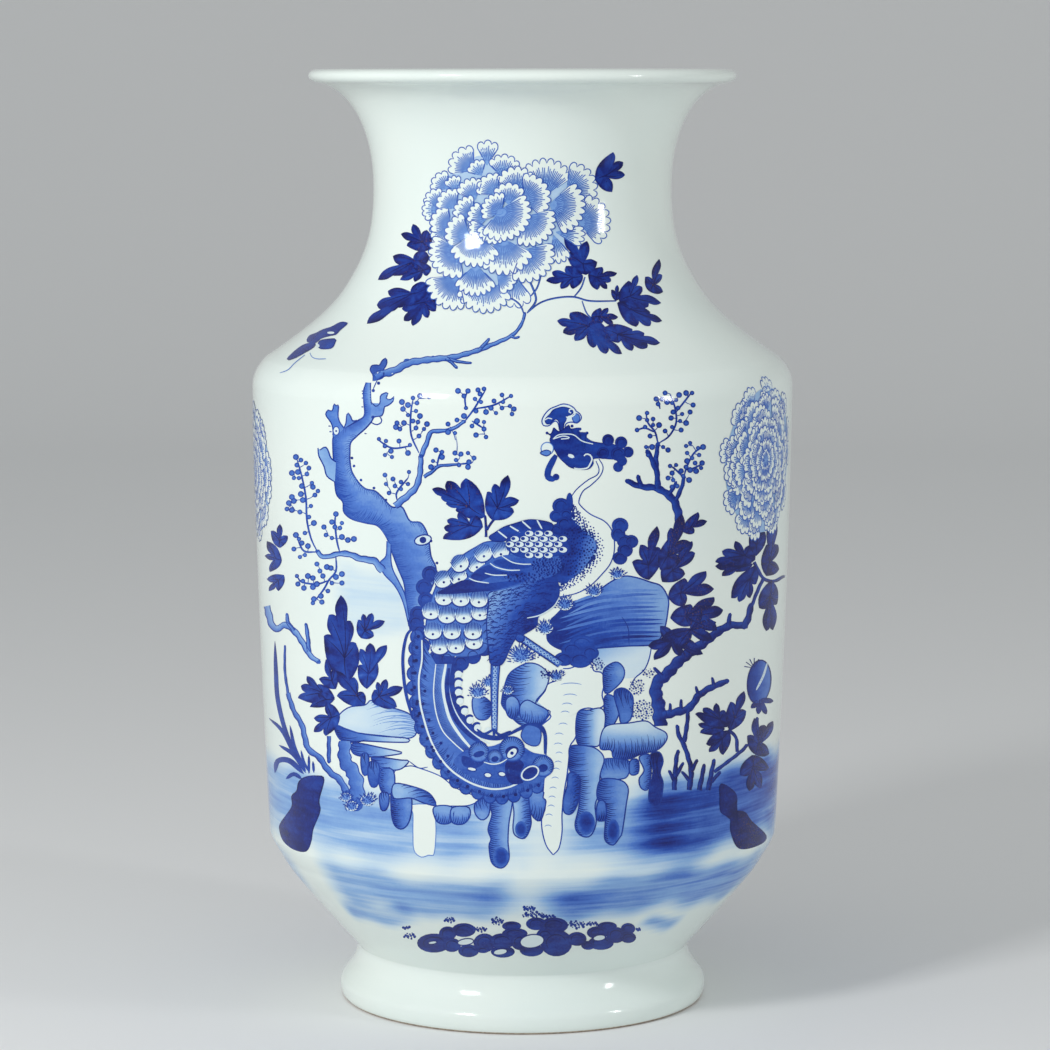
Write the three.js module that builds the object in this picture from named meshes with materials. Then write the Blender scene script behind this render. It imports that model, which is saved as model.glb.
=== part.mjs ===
// A tall porcelain lantern vase with a trumpet mouth, built as a potter builds it: thrown
// sections stacked on flat luting faces, with a bead of slip pressed round the inside of
// each seam. Millimetres, +Z up. The origin is the centre of the foot's resting face.
import * as THREE from "three";

// Heights of the sections, from the table up
const footHeight = 26;
const baseHeight = 56;
const lowerBarrelHeight = 108;
const upperBarrelHeight = 106;
const shoulderHeight = 46.5;
const neckHeight = 103.3;

// Outer radii where the profile turns
const footContactRadius = 85.8;
const footBulgeRadius = 88.4;
const footWaistRadius = 80;
const shoulderRadius = 128.8;
const barrelTaper = 6.7; // how much narrower the barrel's foot is than the shoulder
const barrelBulge = 1; // how far the barrel's middle swells past a straight taper
const neckRootRadius = 84.6;
const throatRadius = 70.8;
const lipRadius = 101.6;

// Walls
const footWall = 11;
const baseWall = 9;
const floorThickness = 9;
const barrelWall = 7.5;
const shoulderWall = 7;
const neckWall = 6;
const lipThickness = 6.4;

// Shapes of the turns
const footBulgeHeight = 6.8;
const throatHeight = 48; // above the neck's lower seam
const shoulderEdgeRun = 6.6; // how far in from the corner the shoulder starts to round over
const shoulderEdgeDrop = 13.8; // from there down to the straight wall
const barrelEdgeDrop = 10.8; // height of the rounding under the barrel
const barrelEdgeInset = 5.5; // how far that rounding comes in
const neckRootSlope = 0.64; // radius lost for each millimetre of height at the neck's seam
const lipInset = 4; // how far in the flare ends under the lip
const lipSwell = 1.2; // how far the lip's handles reach past its radius
const lipTopInset = 6; // where the lip's rounding ends on top
const mouthInset = 20.6; // how far in the flare starts to spread
const mouthDrop = 2.7; // and how far below the lip's underside
const mouthSlopeInset = 12; // where the mouth's inside starts to slope
const mouthSlopeDrop = 2.5;
const baseLift = 4; // how far out the base's curve starts from the waist
const wellRadius = 59; // flat middle of the floor inside
const wellEdge = 12; // width of the well's first rise
const wellRise = 2;
const wellShoulderRun = 17;
const wellShoulderRise = 10;
const footTread = 6.6; // width of the resting face

// How far the curves' handles reach, as shares of the stretch that each one spans
const shortReach = 0.1;
const footReach = 0.26;
const waistReach = 0.6;
const longReach = 0.53;
const slopeRun = 0.06;
const slopeRise = 0.16;
const shoulderRun = 0.53;
const shoulderRise = 0.36;
const seamReach = 0.33;
const throatReach = 0.45;
const edgeReach = 0.55;
const barrelEdgeReach = 0.4;
const wallSlant = 0.7; // how far a sloping wall's inside drops for its thickness

// Slip beads and the clearance that keeps them off the wall
const beadHeight = 9;
const beadDepth = 2.6;
const beadCrest = 0.4; // share of the bead's half height, and of the fillet's size, that stays full
const filletSize = 5;
const seatGap = 0.3;

const turns = 48;
const slopeSteps = 6; // short steps of the shoulder's slope, an even number
const glazeColour = 0xe6ecea;
const biscuitColour = 0xd9cdb8;
const slipColour = 0xdde0d6;

// Seams, from the table up
const footSeam = footHeight;
const baseSeam = footSeam + baseHeight;
const barrelFootRadius = shoulderRadius - barrelTaper;
const middleSeam = baseSeam + lowerBarrelHeight;
const shoulderSeam = middleSeam + upperBarrelHeight;
const neckSeam = shoulderSeam + shoulderHeight;
const mouthTop = neckSeam + neckHeight;

const point = (radius, height) => new THREE.Vector2(radius, height);

// A cubic from one profile point to another, shaped by the two points between them.
function bend(start, leave, arrive, end, steps) {
  return new THREE.CubicBezierCurve(start, leave, arrive, end).getPoints(steps);
}

// A quadratic that rounds the corner between two profile points.
function round(start, corner, end, steps) {
  return new THREE.QuadraticBezierCurve(start, corner, end).getPoints(steps);
}

// A turned solid from its outline, which runs anticlockwise in the (radius, height) plane.
function turned(name, outline, colour, roughness) {
  const ring = [...outline, outline[0].clone()];
  const material = new THREE.MeshStandardMaterial({ color: colour, roughness, metalness: 0 });
  const mesh = new THREE.Mesh(new THREE.LatheGeometry(ring, turns), material);
  mesh.name = name;
  mesh.rotation.x = Math.PI / 2;
  return mesh;
}

// The barrel's outer radius at a height: one shallow curve from its foot to the shoulder.
function barrelRadius(height) {
  const share = (height - baseSeam) / (shoulderSeam - baseSeam);
  return barrelFootRadius + barrelTaper * share + barrelBulge * 4 * share * (1 - share);
}

function footRing() {
  const innerRadius = footWaistRadius - footWall;
  const bulge = point(footBulgeRadius, footBulgeHeight);
  const corner = point(footBulgeRadius, footBulgeHeight * shortReach);
  const under = round(point(footContactRadius, 0), corner, bulge, 3);
  const rise = footHeight - footBulgeHeight;
  const upper = bend(
    bulge,
    point(footBulgeRadius, footBulgeHeight + rise * footReach),
    point(footWaistRadius, footHeight - rise * waistReach),
    point(footWaistRadius, footSeam),
    5,
  );
  const tread = point(footContactRadius - footTread, 0);
  const inside = [point(innerRadius, footSeam), point(innerRadius + 1, footTread), tread];
  return turned("foot_ring", [...under, ...upper.slice(1), ...inside], biscuitColour, 0.7);
}

// Where the lower body's rounded edge meets its slope, outside and inside.
const lowerBodyEdge = () => point(barrelFootRadius - barrelEdgeInset, baseSeam - barrelEdgeDrop);
const lowerBodyCorner = () => point(lowerBodyEdge().x - baseWall, lowerBodyEdge().y - wellRise);

function lowerBody() {
  const edge = lowerBodyEdge();
  const slope = bend(
    point(footWaistRadius, footSeam),
    point(footWaistRadius + baseLift, footSeam + baseHeight * shortReach),
    point(edge.x - baseHeight * slopeRun, edge.y - baseHeight * slopeRise),
    edge,
    6,
  );
  const corner = round(
    edge,
    point(barrelFootRadius - 1, baseSeam - barrelEdgeDrop * barrelEdgeReach),
    point(barrelFootRadius, baseSeam),
    3,
  );
  const floor = footSeam + floorThickness;
  const inside = [
    point(barrelFootRadius - barrelWall, baseSeam),
    lowerBodyCorner(),
    point(wellRadius + wellEdge + wellShoulderRun, floor + wellRise + wellShoulderRise),
    point(wellRadius + wellEdge, floor + wellRise),
    point(wellRadius, floor),
    point(0, floor),
  ];
  const outline = [point(0, footSeam), ...slope, ...corner.slice(1), ...inside];
  return turned("lower_body", outline, glazeColour, 0.15);
}

function barrel(name, low, high) {
  const steps = 4;
  const heights = Array.from({ length: steps + 1 }, (_, i) => low + ((high - low) * i) / steps);
  const outside = heights.map((height) => point(barrelRadius(height), height));
  const inside = [high, low].map((height) => point(barrelRadius(height) - barrelWall, height));
  return turned(name, [...outside, ...inside], glazeColour, 0.15);
}

// Where the shoulder's rounded edge meets its slope, outside and inside.
const shoulderEdge = () => point(shoulderRadius - shoulderEdgeRun, shoulderSeam + shoulderEdgeDrop);
const shoulderCorner = () =>
  point(shoulderEdge().x - shoulderWall, shoulderEdge().y - shoulderWall * wallSlant);

// The neck's inner wall at its seam, and where it turns up into the throat.
const neckFoot = () => point(neckRootRadius - neckWall, neckSeam);
const neckCorner = () => point(throatRadius - neckWall * wallSlant, neckSeam + throatHeight / 2);

// The shoulder's outer line: round the edge first, then in and up to the neck.
function shoulderLine() {
  const edge = shoulderEdge();
  const rise = neckSeam - edge.y;
  const corner = round(
    point(shoulderRadius, shoulderSeam),
    point(shoulderRadius, shoulderSeam + shoulderEdgeDrop * edgeReach),
    edge,
    4,
  );
  const slope = bend(
    edge,
    point(edge.x - rise * shoulderRun, edge.y + rise * shoulderRise),
    point(neckRootRadius + neckRootSlope * rise * seamReach, neckSeam - rise * seamReach),
    point(neckRootRadius, neckSeam),
    slopeSteps,
  );
  return [...corner, ...slope.slice(1)];
}

// The shoulder's inner point under the middle of its slope.
function shoulderMiddle() {
  const middle = shoulderLine().at(-1 - slopeSteps / 2);
  return point(middle.x - shoulderWall * wallSlant, middle.y - shoulderWall * wallSlant);
}

function shoulder() {
  const seat = point(shoulderRadius - barrelWall, shoulderSeam);
  const inside = [neckFoot(), shoulderMiddle(), shoulderCorner(), seat];
  return turned("shoulder", [...shoulderLine(), ...inside], glazeColour, 0.15);
}

function neck() {
  const throat = neckSeam + throatHeight;
  const lipUnder = mouthTop - lipThickness;
  const root = point(neckRootRadius, neckSeam);
  const rise = throatHeight * seamReach;
  const lower = bend(
    root,
    point(neckRootRadius - neckRootSlope * rise, neckSeam + rise),
    point(throatRadius, throat - throatHeight * throatReach),
    point(throatRadius, throat),
    5,
  );
  const flare = bend(
    point(throatRadius, throat),
    point(throatRadius, throat + (lipUnder - throat) * longReach),
    point(lipRadius - mouthInset, lipUnder - mouthDrop),
    point(lipRadius - lipInset, lipUnder),
    6,
  );
  const lip = bend(
    point(lipRadius - lipInset, lipUnder),
    point(lipRadius + lipSwell, lipUnder + lipThickness * slopeRise),
    point(lipRadius + lipSwell, mouthTop),
    point(lipRadius - lipTopInset, mouthTop),
    5,
  );
  const inside = [
    point(lipRadius - mouthSlopeInset, mouthTop - mouthSlopeDrop),
    point(lipRadius - mouthInset, lipUnder - neckWall * seamReach),
    point(throatRadius - neckWall * shortReach, throat + (lipUnder - throat) * longReach),
    point(throatRadius - neckWall, throat),
    neckCorner(),
    neckFoot(),
  ];
  const outline = [...lower, ...flare.slice(1), ...lip.slice(1), ...inside];
  return turned("neck", outline, glazeColour, 0.15);
}

// The radius, at a height, of the straight stretch of wall between two profile points.
function radiusOn(low, high, height) {
  const share = (height - low.y) / (high.y - low.y);
  return low.x + (high.x - low.x) * share;
}

// A bead of slip pressed round the inside of a seam, between the wall below it and the wall above.
function slipBead(name, below, seam, above) {
  const half = beadHeight / 2;
  const crest = half * beadCrest;
  const face = seam.x - seatGap;
  const outline = [
    point(radiusOn(below, seam, seam.y - half) - seatGap, seam.y - half),
    point(face, seam.y),
    point(radiusOn(seam, above, seam.y + half) - seatGap, seam.y + half),
    point(radiusOn(seam, above, seam.y + crest) - beadDepth, seam.y + crest),
    point(radiusOn(below, seam, seam.y - crest) - beadDepth, seam.y - crest),
  ];
  return turned(name, outline, slipColour, 0.5);
}

// The fillet of slip in the corner of the recess, between the foot's inside and the floor.
function footFillet() {
  const radius = footWaistRadius - footWall - seatGap;
  const height = footSeam - seatGap;
  const outline = [
    point(radius, height - filletSize),
    point(radius, height),
    point(radius - filletSize, height),
    point(radius - filletSize * beadCrest, height - filletSize * beadCrest),
  ];
  return turned("foot_slip_fillet", outline, slipColour, 0.6);
}

const barrelInside = (height) => point(barrelRadius(height) - barrelWall, height);
const lowSeat = barrelInside(baseSeam);
const middleSeat = barrelInside(middleSeam);
const highSeat = barrelInside(shoulderSeam);

const vase = new THREE.Group();
vase.add(
  footRing(),
  footFillet(),
  lowerBody(),
  slipBead("base_slip_bead", lowerBodyCorner(), lowSeat, middleSeat),
  barrel("barrel_lower", baseSeam, middleSeam),
  slipBead("middle_slip_bead", lowSeat, middleSeat, highSeat),
  barrel("barrel_upper", middleSeam, shoulderSeam),
  slipBead("shoulder_slip_bead", middleSeat, highSeat, shoulderCorner()),
  shoulder(),
  slipBead("neck_slip_bead", shoulderMiddle(), neckFoot(), neckCorner()),
  neck(),
);
export default vase;
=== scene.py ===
"""A blue and white porcelain lantern vase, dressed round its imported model.

The porcelain is turned from the same profile as the model. The painting is laid on it as brush strokes:
each stroke is a small sheet that follows the surface, with the strength of its cobalt kept as an
attribute. Strokes are drawn in the picture's own pixels and carried onto the vase along the lines of sight.
"""

from __future__ import annotations

import logging
import math
from collections.abc import Callable
from dataclasses import dataclass
from enum import Enum

import bmesh
import bpy
import numpy as np
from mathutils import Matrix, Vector

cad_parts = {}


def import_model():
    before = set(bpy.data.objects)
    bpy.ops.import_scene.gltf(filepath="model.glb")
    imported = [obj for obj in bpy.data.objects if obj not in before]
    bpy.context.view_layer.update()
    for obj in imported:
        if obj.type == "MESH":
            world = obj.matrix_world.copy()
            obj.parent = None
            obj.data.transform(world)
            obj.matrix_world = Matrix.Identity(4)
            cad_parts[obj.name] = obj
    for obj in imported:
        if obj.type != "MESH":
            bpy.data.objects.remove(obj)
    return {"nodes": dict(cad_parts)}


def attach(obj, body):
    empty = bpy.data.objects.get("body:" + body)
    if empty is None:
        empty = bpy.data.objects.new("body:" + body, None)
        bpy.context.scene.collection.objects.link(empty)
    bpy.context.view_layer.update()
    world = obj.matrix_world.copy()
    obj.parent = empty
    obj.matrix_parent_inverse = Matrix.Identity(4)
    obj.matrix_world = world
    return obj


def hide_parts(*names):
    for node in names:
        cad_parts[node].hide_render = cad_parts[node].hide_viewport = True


LOG = logging.getLogger("lantern_vase")
MM = 0.001
ROOT = "root"
Array = np.ndarray


def xy(*numbers: float) -> tuple:
    """Cuts a run of numbers into points of x and y."""
    return tuple(zip(numbers[::2], numbers[1::2]))


# Profile of the turned porcelain


def cubic(start: tuple, leave: tuple, arrive: tuple, end: tuple, steps: int) -> Array:
    """Points of a cubic Bezier curve: the four points weighted by (1-t)^3, 3t(1-t)^2, 3t^2(1-t) and t^3.

    Args:
        start: Its first point.
        leave: The handle after it.
        arrive: The handle before its last point.
        end: Its last point.
        steps: Number of stretches.

    Returns:
        The points in rows.
    """
    t = np.linspace(0, 1, steps + 1)[:, None]
    a, b, c, d = (np.asarray(p, float) for p in (start, leave, arrive, end))
    return (1 - t) ** 3 * a + 3 * t * (1 - t) ** 2 * b + 3 * t**2 * (1 - t) * c + t**3 * d


def quadratic(start: tuple, corner: tuple, end: tuple, steps: int) -> Array:
    """Points of a quadratic Bezier curve: (1-t)^2, 2t(1-t) and t^2 weigh the three points.

    Args:
        start: Its first point.
        corner: Its handle.
        end: Its last point.
        steps: Number of stretches.

    Returns:
        The points in rows.
    """
    t = np.linspace(0, 1, steps + 1)[:, None]
    a, b, c = (np.asarray(p, float) for p in (start, corner, end))
    return (1 - t) ** 2 * a + 2 * t * (1 - t) * b + t**2 * c


def chain(*parts: Array) -> Array:
    """Joins point rows end to end, leaving out each part's first point where it repeats the last.

    Args:
        parts: Rows of points.

    Returns:
        All the points in rows.
    """
    rows = [np.atleast_2d(np.asarray(parts[0], float))]
    for part in parts[1:]:
        part = np.atleast_2d(np.asarray(part, float))
        rows.append(part[1:] if np.allclose(part[0], rows[-1][-1]) else part)
    return np.vstack(rows)


@dataclass(frozen=True)
class VaseForm:
    """Sizes of the turned form in millimetres, with its outer and inner lines as (radius, height) rows."""

    foot_height: float = 26
    base_height: float = 56
    lower_barrel_height: float = 108
    upper_barrel_height: float = 106
    shoulder_height: float = 46.5
    neck_height: float = 103.3
    foot_contact_radius: float = 85.8
    foot_bulge_radius: float = 88.4
    foot_waist_radius: float = 80
    barrel_foot_radius: float = 122.1
    barrel_middle_radius: float = 126.45
    shoulder_radius: float = 128.8
    neck_root_radius: float = 84.6
    throat_radius: float = 70.8
    lip_radius: float = 101.6
    foot_wall: float = 11
    base_wall: float = 9
    floor_thickness: float = 9
    barrel_wall: float = 7.5
    shoulder_wall: float = 7
    neck_wall: float = 6
    lip_thickness: float = 6.4
    foot_bulge_height: float = 6.8
    throat_height: float = 48
    shoulder_edge_run: float = 6.6
    shoulder_edge_drop: float = 13.8
    barrel_edge_drop: float = 10.8
    barrel_edge_inset: float = 5.5
    neck_root_slope: float = 0.64

    @property
    def foot_seam(self) -> float:
        """Height of the seam between foot and base."""
        return self.foot_height

    @property
    def base_seam(self) -> float:
        """Height of the seam under the barrel."""
        return self.foot_seam + self.base_height

    @property
    def middle_seam(self) -> float:
        """Height of the seam half way up the barrel."""
        return self.base_seam + self.lower_barrel_height

    @property
    def shoulder_seam(self) -> float:
        """Height of the seam at the shoulder's edge."""
        return self.middle_seam + self.upper_barrel_height

    @property
    def neck_seam(self) -> float:
        """Height of the seam between shoulder and neck."""
        return self.shoulder_seam + self.shoulder_height

    @property
    def mouth_top(self) -> float:
        """Height of the lip's top."""
        return self.neck_seam + self.neck_height

    def foot_outside(self) -> Array:
        """The foot's outer line, from the resting edge up to the waist."""
        bulge = (self.foot_bulge_radius, self.foot_bulge_height)
        rise = self.foot_height - self.foot_bulge_height
        under = quadratic(
            (self.foot_contact_radius, 0), (self.foot_bulge_radius, self.foot_bulge_height * 0.1), bulge, 8
        )
        upper = cubic(
            bulge,
            (self.foot_bulge_radius, self.foot_bulge_height + rise * 0.26),
            (self.foot_waist_radius, self.foot_height - rise * 0.6),
            (self.foot_waist_radius, self.foot_seam),
            16,
        )
        return chain(under, upper)

    def base_outside(self) -> Array:
        """The sloping base's outer line, from the waist up to the barrel."""
        edge = (self.barrel_foot_radius - self.barrel_edge_inset, self.base_seam - self.barrel_edge_drop)
        slope = cubic(
            (self.foot_waist_radius, self.foot_seam),
            (self.foot_waist_radius + 4, self.foot_seam + self.base_height * 0.1),
            (edge[0] - self.base_height * 0.06, edge[1] - self.base_height * 0.16),
            edge,
            24,
        )
        corner = quadratic(
            edge,
            (self.barrel_foot_radius - 1, self.base_seam - self.barrel_edge_drop * 0.4),
            (self.barrel_foot_radius, self.base_seam),
            8,
        )
        return chain(slope, corner)

    def barrel_outside(self, low: float, high: float) -> Array:
        """The barrel's outer line between two heights: a straight taper with a parabola's bulge on it.

        Args:
            low: The lower height.
            high: The upper height.

        Returns:
            Rows of radius and height.
        """
        height = np.linspace(low, high, 41)
        share = (height - self.base_seam) / (self.shoulder_seam - self.base_seam)
        bulge = self.barrel_middle_radius - (self.barrel_foot_radius + self.shoulder_radius) / 2
        taper = self.barrel_foot_radius + (self.shoulder_radius - self.barrel_foot_radius) * share
        return np.column_stack([taper + bulge * 4 * share * (1 - share), height])

    def shoulder_outside(self) -> Array:
        """The shoulder's outer line, round the edge and in to the neck."""
        edge = (self.shoulder_radius - self.shoulder_edge_run, self.shoulder_seam + self.shoulder_edge_drop)
        rise = self.neck_seam - edge[1]
        corner = quadratic(
            (self.shoulder_radius, self.shoulder_seam),
            (self.shoulder_radius, self.shoulder_seam + self.shoulder_edge_drop * 0.55),
            edge,
            12,
        )
        slope = cubic(
            edge,
            (edge[0] - rise * 0.53, edge[1] + rise * 0.36),
            (self.neck_root_radius + self.neck_root_slope * rise * 0.33, self.neck_seam - rise * 0.33),
            (self.neck_root_radius, self.neck_seam),
            20,
        )
        return chain(corner, slope)

    def neck_outside(self) -> Array:
        """The neck's outer line, from its seam through the throat and flare to the lip's top."""
        throat = self.neck_seam + self.throat_height
        under = self.mouth_top - self.lip_thickness
        rise = self.throat_height * 0.33
        lower = cubic(
            (self.neck_root_radius, self.neck_seam),
            (self.neck_root_radius - self.neck_root_slope * rise, self.neck_seam + rise),
            (self.throat_radius, throat - self.throat_height * 0.45),
            (self.throat_radius, throat),
            24,
        )
        flare = cubic(
            (self.throat_radius, throat),
            (self.throat_radius, throat + (under - throat) * 0.53),
            (self.lip_radius - 20.6, under - 2.7),
            (self.lip_radius - 4, under),
            28,
        )
        lip = cubic(
            (self.lip_radius - 4, under),
            (self.lip_radius + 1.2, under + self.lip_thickness * 0.16),
            (self.lip_radius + 1.2, self.mouth_top),
            (self.lip_radius - 6, self.mouth_top),
            16,
        )
        return chain(lower, flare, lip)

    def painted_line(self) -> Array:
        """The outer line from the foot's waist to the lip, which rises all the way, for laying paint on."""
        line = chain(
            self.foot_outside(),
            self.base_outside(),
            self.barrel_outside(self.base_seam, self.shoulder_seam),
            self.shoulder_outside(),
            self.neck_outside(),
        )
        rising = np.concatenate([[True], np.diff(line[:, 1]) > 1e-6])
        return line[rising]


# Carrying a drawing onto the vase


@dataclass(frozen=True)
class PictureView:
    """The viewpoint of the picture, which the camera and the drawing share. Lengths are in millimetres."""

    frame: float = 1050
    focal_pixels: float = 3850
    distance: float = 1835
    height: float = 449
    pitch_degrees: float = 6.86
    sideways: float = 1.2

    @property
    def position(self) -> Array:
        """The eye's place."""
        return np.array([self.sideways, -self.distance, self.height])

    def rays(self, pixels: Array) -> Array:
        """Directions through pixels: right, down and forward turned by the camera's pitch.

        Args:
            pixels: Pixel positions.

        Returns:
            A direction for each pixel.
        """
        pitch = math.radians(self.pitch_degrees)
        across = (pixels[..., 0] - self.frame / 2) / self.focal_pixels
        down = (pixels[..., 1] - self.frame / 2) / self.focal_pixels
        forward = math.cos(pitch) - down * math.sin(pitch)
        fall = -math.sin(pitch) - down * math.cos(pitch)
        return np.stack([across, forward, fall], axis=-1)


class TurnedSurface:
    """The vase's outside as a surface of revolution: point = (r(z) sin a, -r(z) cos a, z)."""

    outermost = 140
    ray_steps = 160
    halvings = 24

    def __init__(self, form: VaseForm) -> None:
        """Reads the form's rising outer line.

        Args:
            form: The vase's sizes.
        """
        self.line = form.painted_line()
        run = np.gradient(self.line[:, 0])
        rise = np.gradient(self.line[:, 1])
        length = np.hypot(run, rise)
        self.normal_out = rise / length
        self.normal_up = -run / length

    def radius(self, height: Array) -> Array:
        """Outer radius at a height."""
        return np.interp(height, self.line[:, 1], self.line[:, 0])

    def places(self, angle: Array, height: Array, lift: float) -> tuple[Array, Array]:
        """Points and outward normals at angles and heights.

        Args:
            angle: Angle round the axis from the front, positive to the viewer's right.
            height: Height in millimetres.
            lift: Distance off the surface in millimetres.

        Returns:
            The points in metres and their unit normals.
        """
        out = np.interp(height, self.line[:, 1], self.normal_out)
        up = np.interp(height, self.line[:, 1], self.normal_up)
        length = np.hypot(out, up)
        out, up = out / length, up / length
        normal = np.stack([out * np.sin(angle), -out * np.cos(angle), up], axis=-1)
        radius = self.radius(height)
        point = np.stack([radius * np.sin(angle), -radius * np.cos(angle), height], axis=-1)
        return (point + normal * lift) * MM, normal

    def seen_through(self, view: PictureView, pixels: Array) -> Array:
        """Angle and height where the lines of sight first meet the vase.

        Each ray is stepped from in front of the vase to its nearest approach to the axis, and the
        first step inside the surface is refined by halving. A ray that misses takes that approach.

        Args:
            view: The picture's viewpoint.
            pixels: Pixel positions in rows.

        Returns:
            Rows of angle and height.
        """
        way = view.rays(pixels)
        eye = view.position
        flat = (way[:, :2] ** 2).sum(1)
        nearest = -(way[:, :2] @ eye[:2]) / flat
        reach = self.outermost / np.sqrt(flat)
        near, far = nearest - reach, nearest.copy()

        def outside(t: Array) -> Array:
            """How far outside the surface the ray is at t."""
            spot = eye + way * t[:, None]
            return np.hypot(spot[:, 0], spot[:, 1]) - self.radius(spot[:, 2])

        found = np.zeros(len(way), bool)
        low, high = far.copy(), far.copy()
        before = near
        for share in np.linspace(0, 1, self.ray_steps + 1)[1:]:
            now = near + (far - near) * share
            inside = (outside(now) <= 0) & ~found
            low[inside], high[inside] = before[inside], now[inside]
            found |= inside
            before = now
        for _ in range(self.halvings):
            middle = (low + high) / 2
            out = outside(middle) > 0
            low, high = np.where(out, middle, low), np.where(out, high, middle)
        spot = eye + way * high[:, None]
        return np.column_stack([np.arctan2(spot[:, 0], -spot[:, 1]), spot[:, 2]])


# Brush strokes


@dataclass(frozen=True)
class SeenChart:
    """Lays a drawing in the picture's pixels on the vase along the lines of sight."""

    view: PictureView
    surface: TurnedSurface

    def spots(self, pixels: Array) -> Array:
        """Angles and heights of pixels."""
        return self.surface.seen_through(self.view, pixels)


@dataclass(frozen=True)
class RolledChart:
    """Rolls a flat drawing round the vase: across is arc length at the angle, down is height."""

    surface: TurnedSurface
    angle_degrees: float
    height: float
    middle: tuple = (0.0, 0.0)
    scale: float = 0.48
    mirror: float = 1.0

    def spots(self, pixels: Array) -> Array:
        """Angles and heights of points of the flat drawing.

        Args:
            pixels: Points of the drawing.

        Returns:
            Rows of angle and height.
        """
        height = self.height - (pixels[:, 1] - self.middle[1]) * self.scale
        across = (pixels[:, 0] - self.middle[0]) * self.scale * self.mirror
        angle = math.radians(self.angle_degrees) + across / self.surface.radius(height)
        return np.column_stack([angle, height])


@dataclass
class Stroke:
    """Sheets of paint: (count, rows, columns, 2) drawing points, their cobalt and their order."""

    grid: Array
    cobalt: Array
    level: Array


def flowing(points: Array, spacing: float = 3.0) -> Array:
    """A smooth line through points: a Catmull-Rom curve, sampled evenly about every `spacing` pixels.

    Args:
        points: The points it passes through. It closes where the last is the first.
        spacing: Distance between its samples.

    Returns:
        The samples in rows.
    """
    p = np.asarray(points, float)
    if len(p) == 2:
        count = max(2, int(np.hypot(*(p[1] - p[0])) / spacing) + 1)
        return p[0] + (p[1] - p[0]) * np.linspace(0, 1, count)[:, None]
    closed = np.allclose(p[0], p[-1])
    first = p[-2] if closed else 2 * p[0] - p[1]
    last = p[1] if closed else 2 * p[-1] - p[-2]
    q = np.vstack([first, p, last])
    t = np.linspace(0, 1, 9)[:-1, None]
    a, b, c, d = q[:-3, None], q[1:-2, None], q[2:-1, None], q[3:, None]
    curve = 0.5 * (2 * b + (c - a) * t + (2 * a - 5 * b + 4 * c - d) * t**2 + (3 * b - a - 3 * c + d) * t**3)
    dense = np.vstack([curve.reshape(-1, 2), p[-1:]])
    return even(dense, max(2, int(length_of(dense) / spacing) + 2))


def length_of(line: Array) -> float:
    """Length of a line of points."""
    return float(np.hypot(*np.diff(line, axis=0).T).sum())


def even(line: Array, count: int) -> Array:
    """The same line with `count` evenly spaced points.

    Args:
        line: Points in rows.
        count: How many to put on it.

    Returns:
        The new points.
    """
    along = np.concatenate([[0], np.cumsum(np.hypot(*np.diff(line, axis=0).T))])
    where = np.linspace(0, along[-1], count)
    return np.column_stack([np.interp(where, along, line[:, 0]), np.interp(where, along, line[:, 1])])


def sideways_of(line: Array) -> Array:
    """Unit vectors a quarter turn from a line's direction.

    Args:
        line: Points in rows.

    Returns:
        A unit vector for each point.
    """
    ahead = np.gradient(line, axis=0)
    ahead /= np.maximum(np.hypot(ahead[:, 0], ahead[:, 1]), 1e-9)[:, None]
    return np.column_stack([-ahead[:, 1], ahead[:, 0]])


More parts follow.
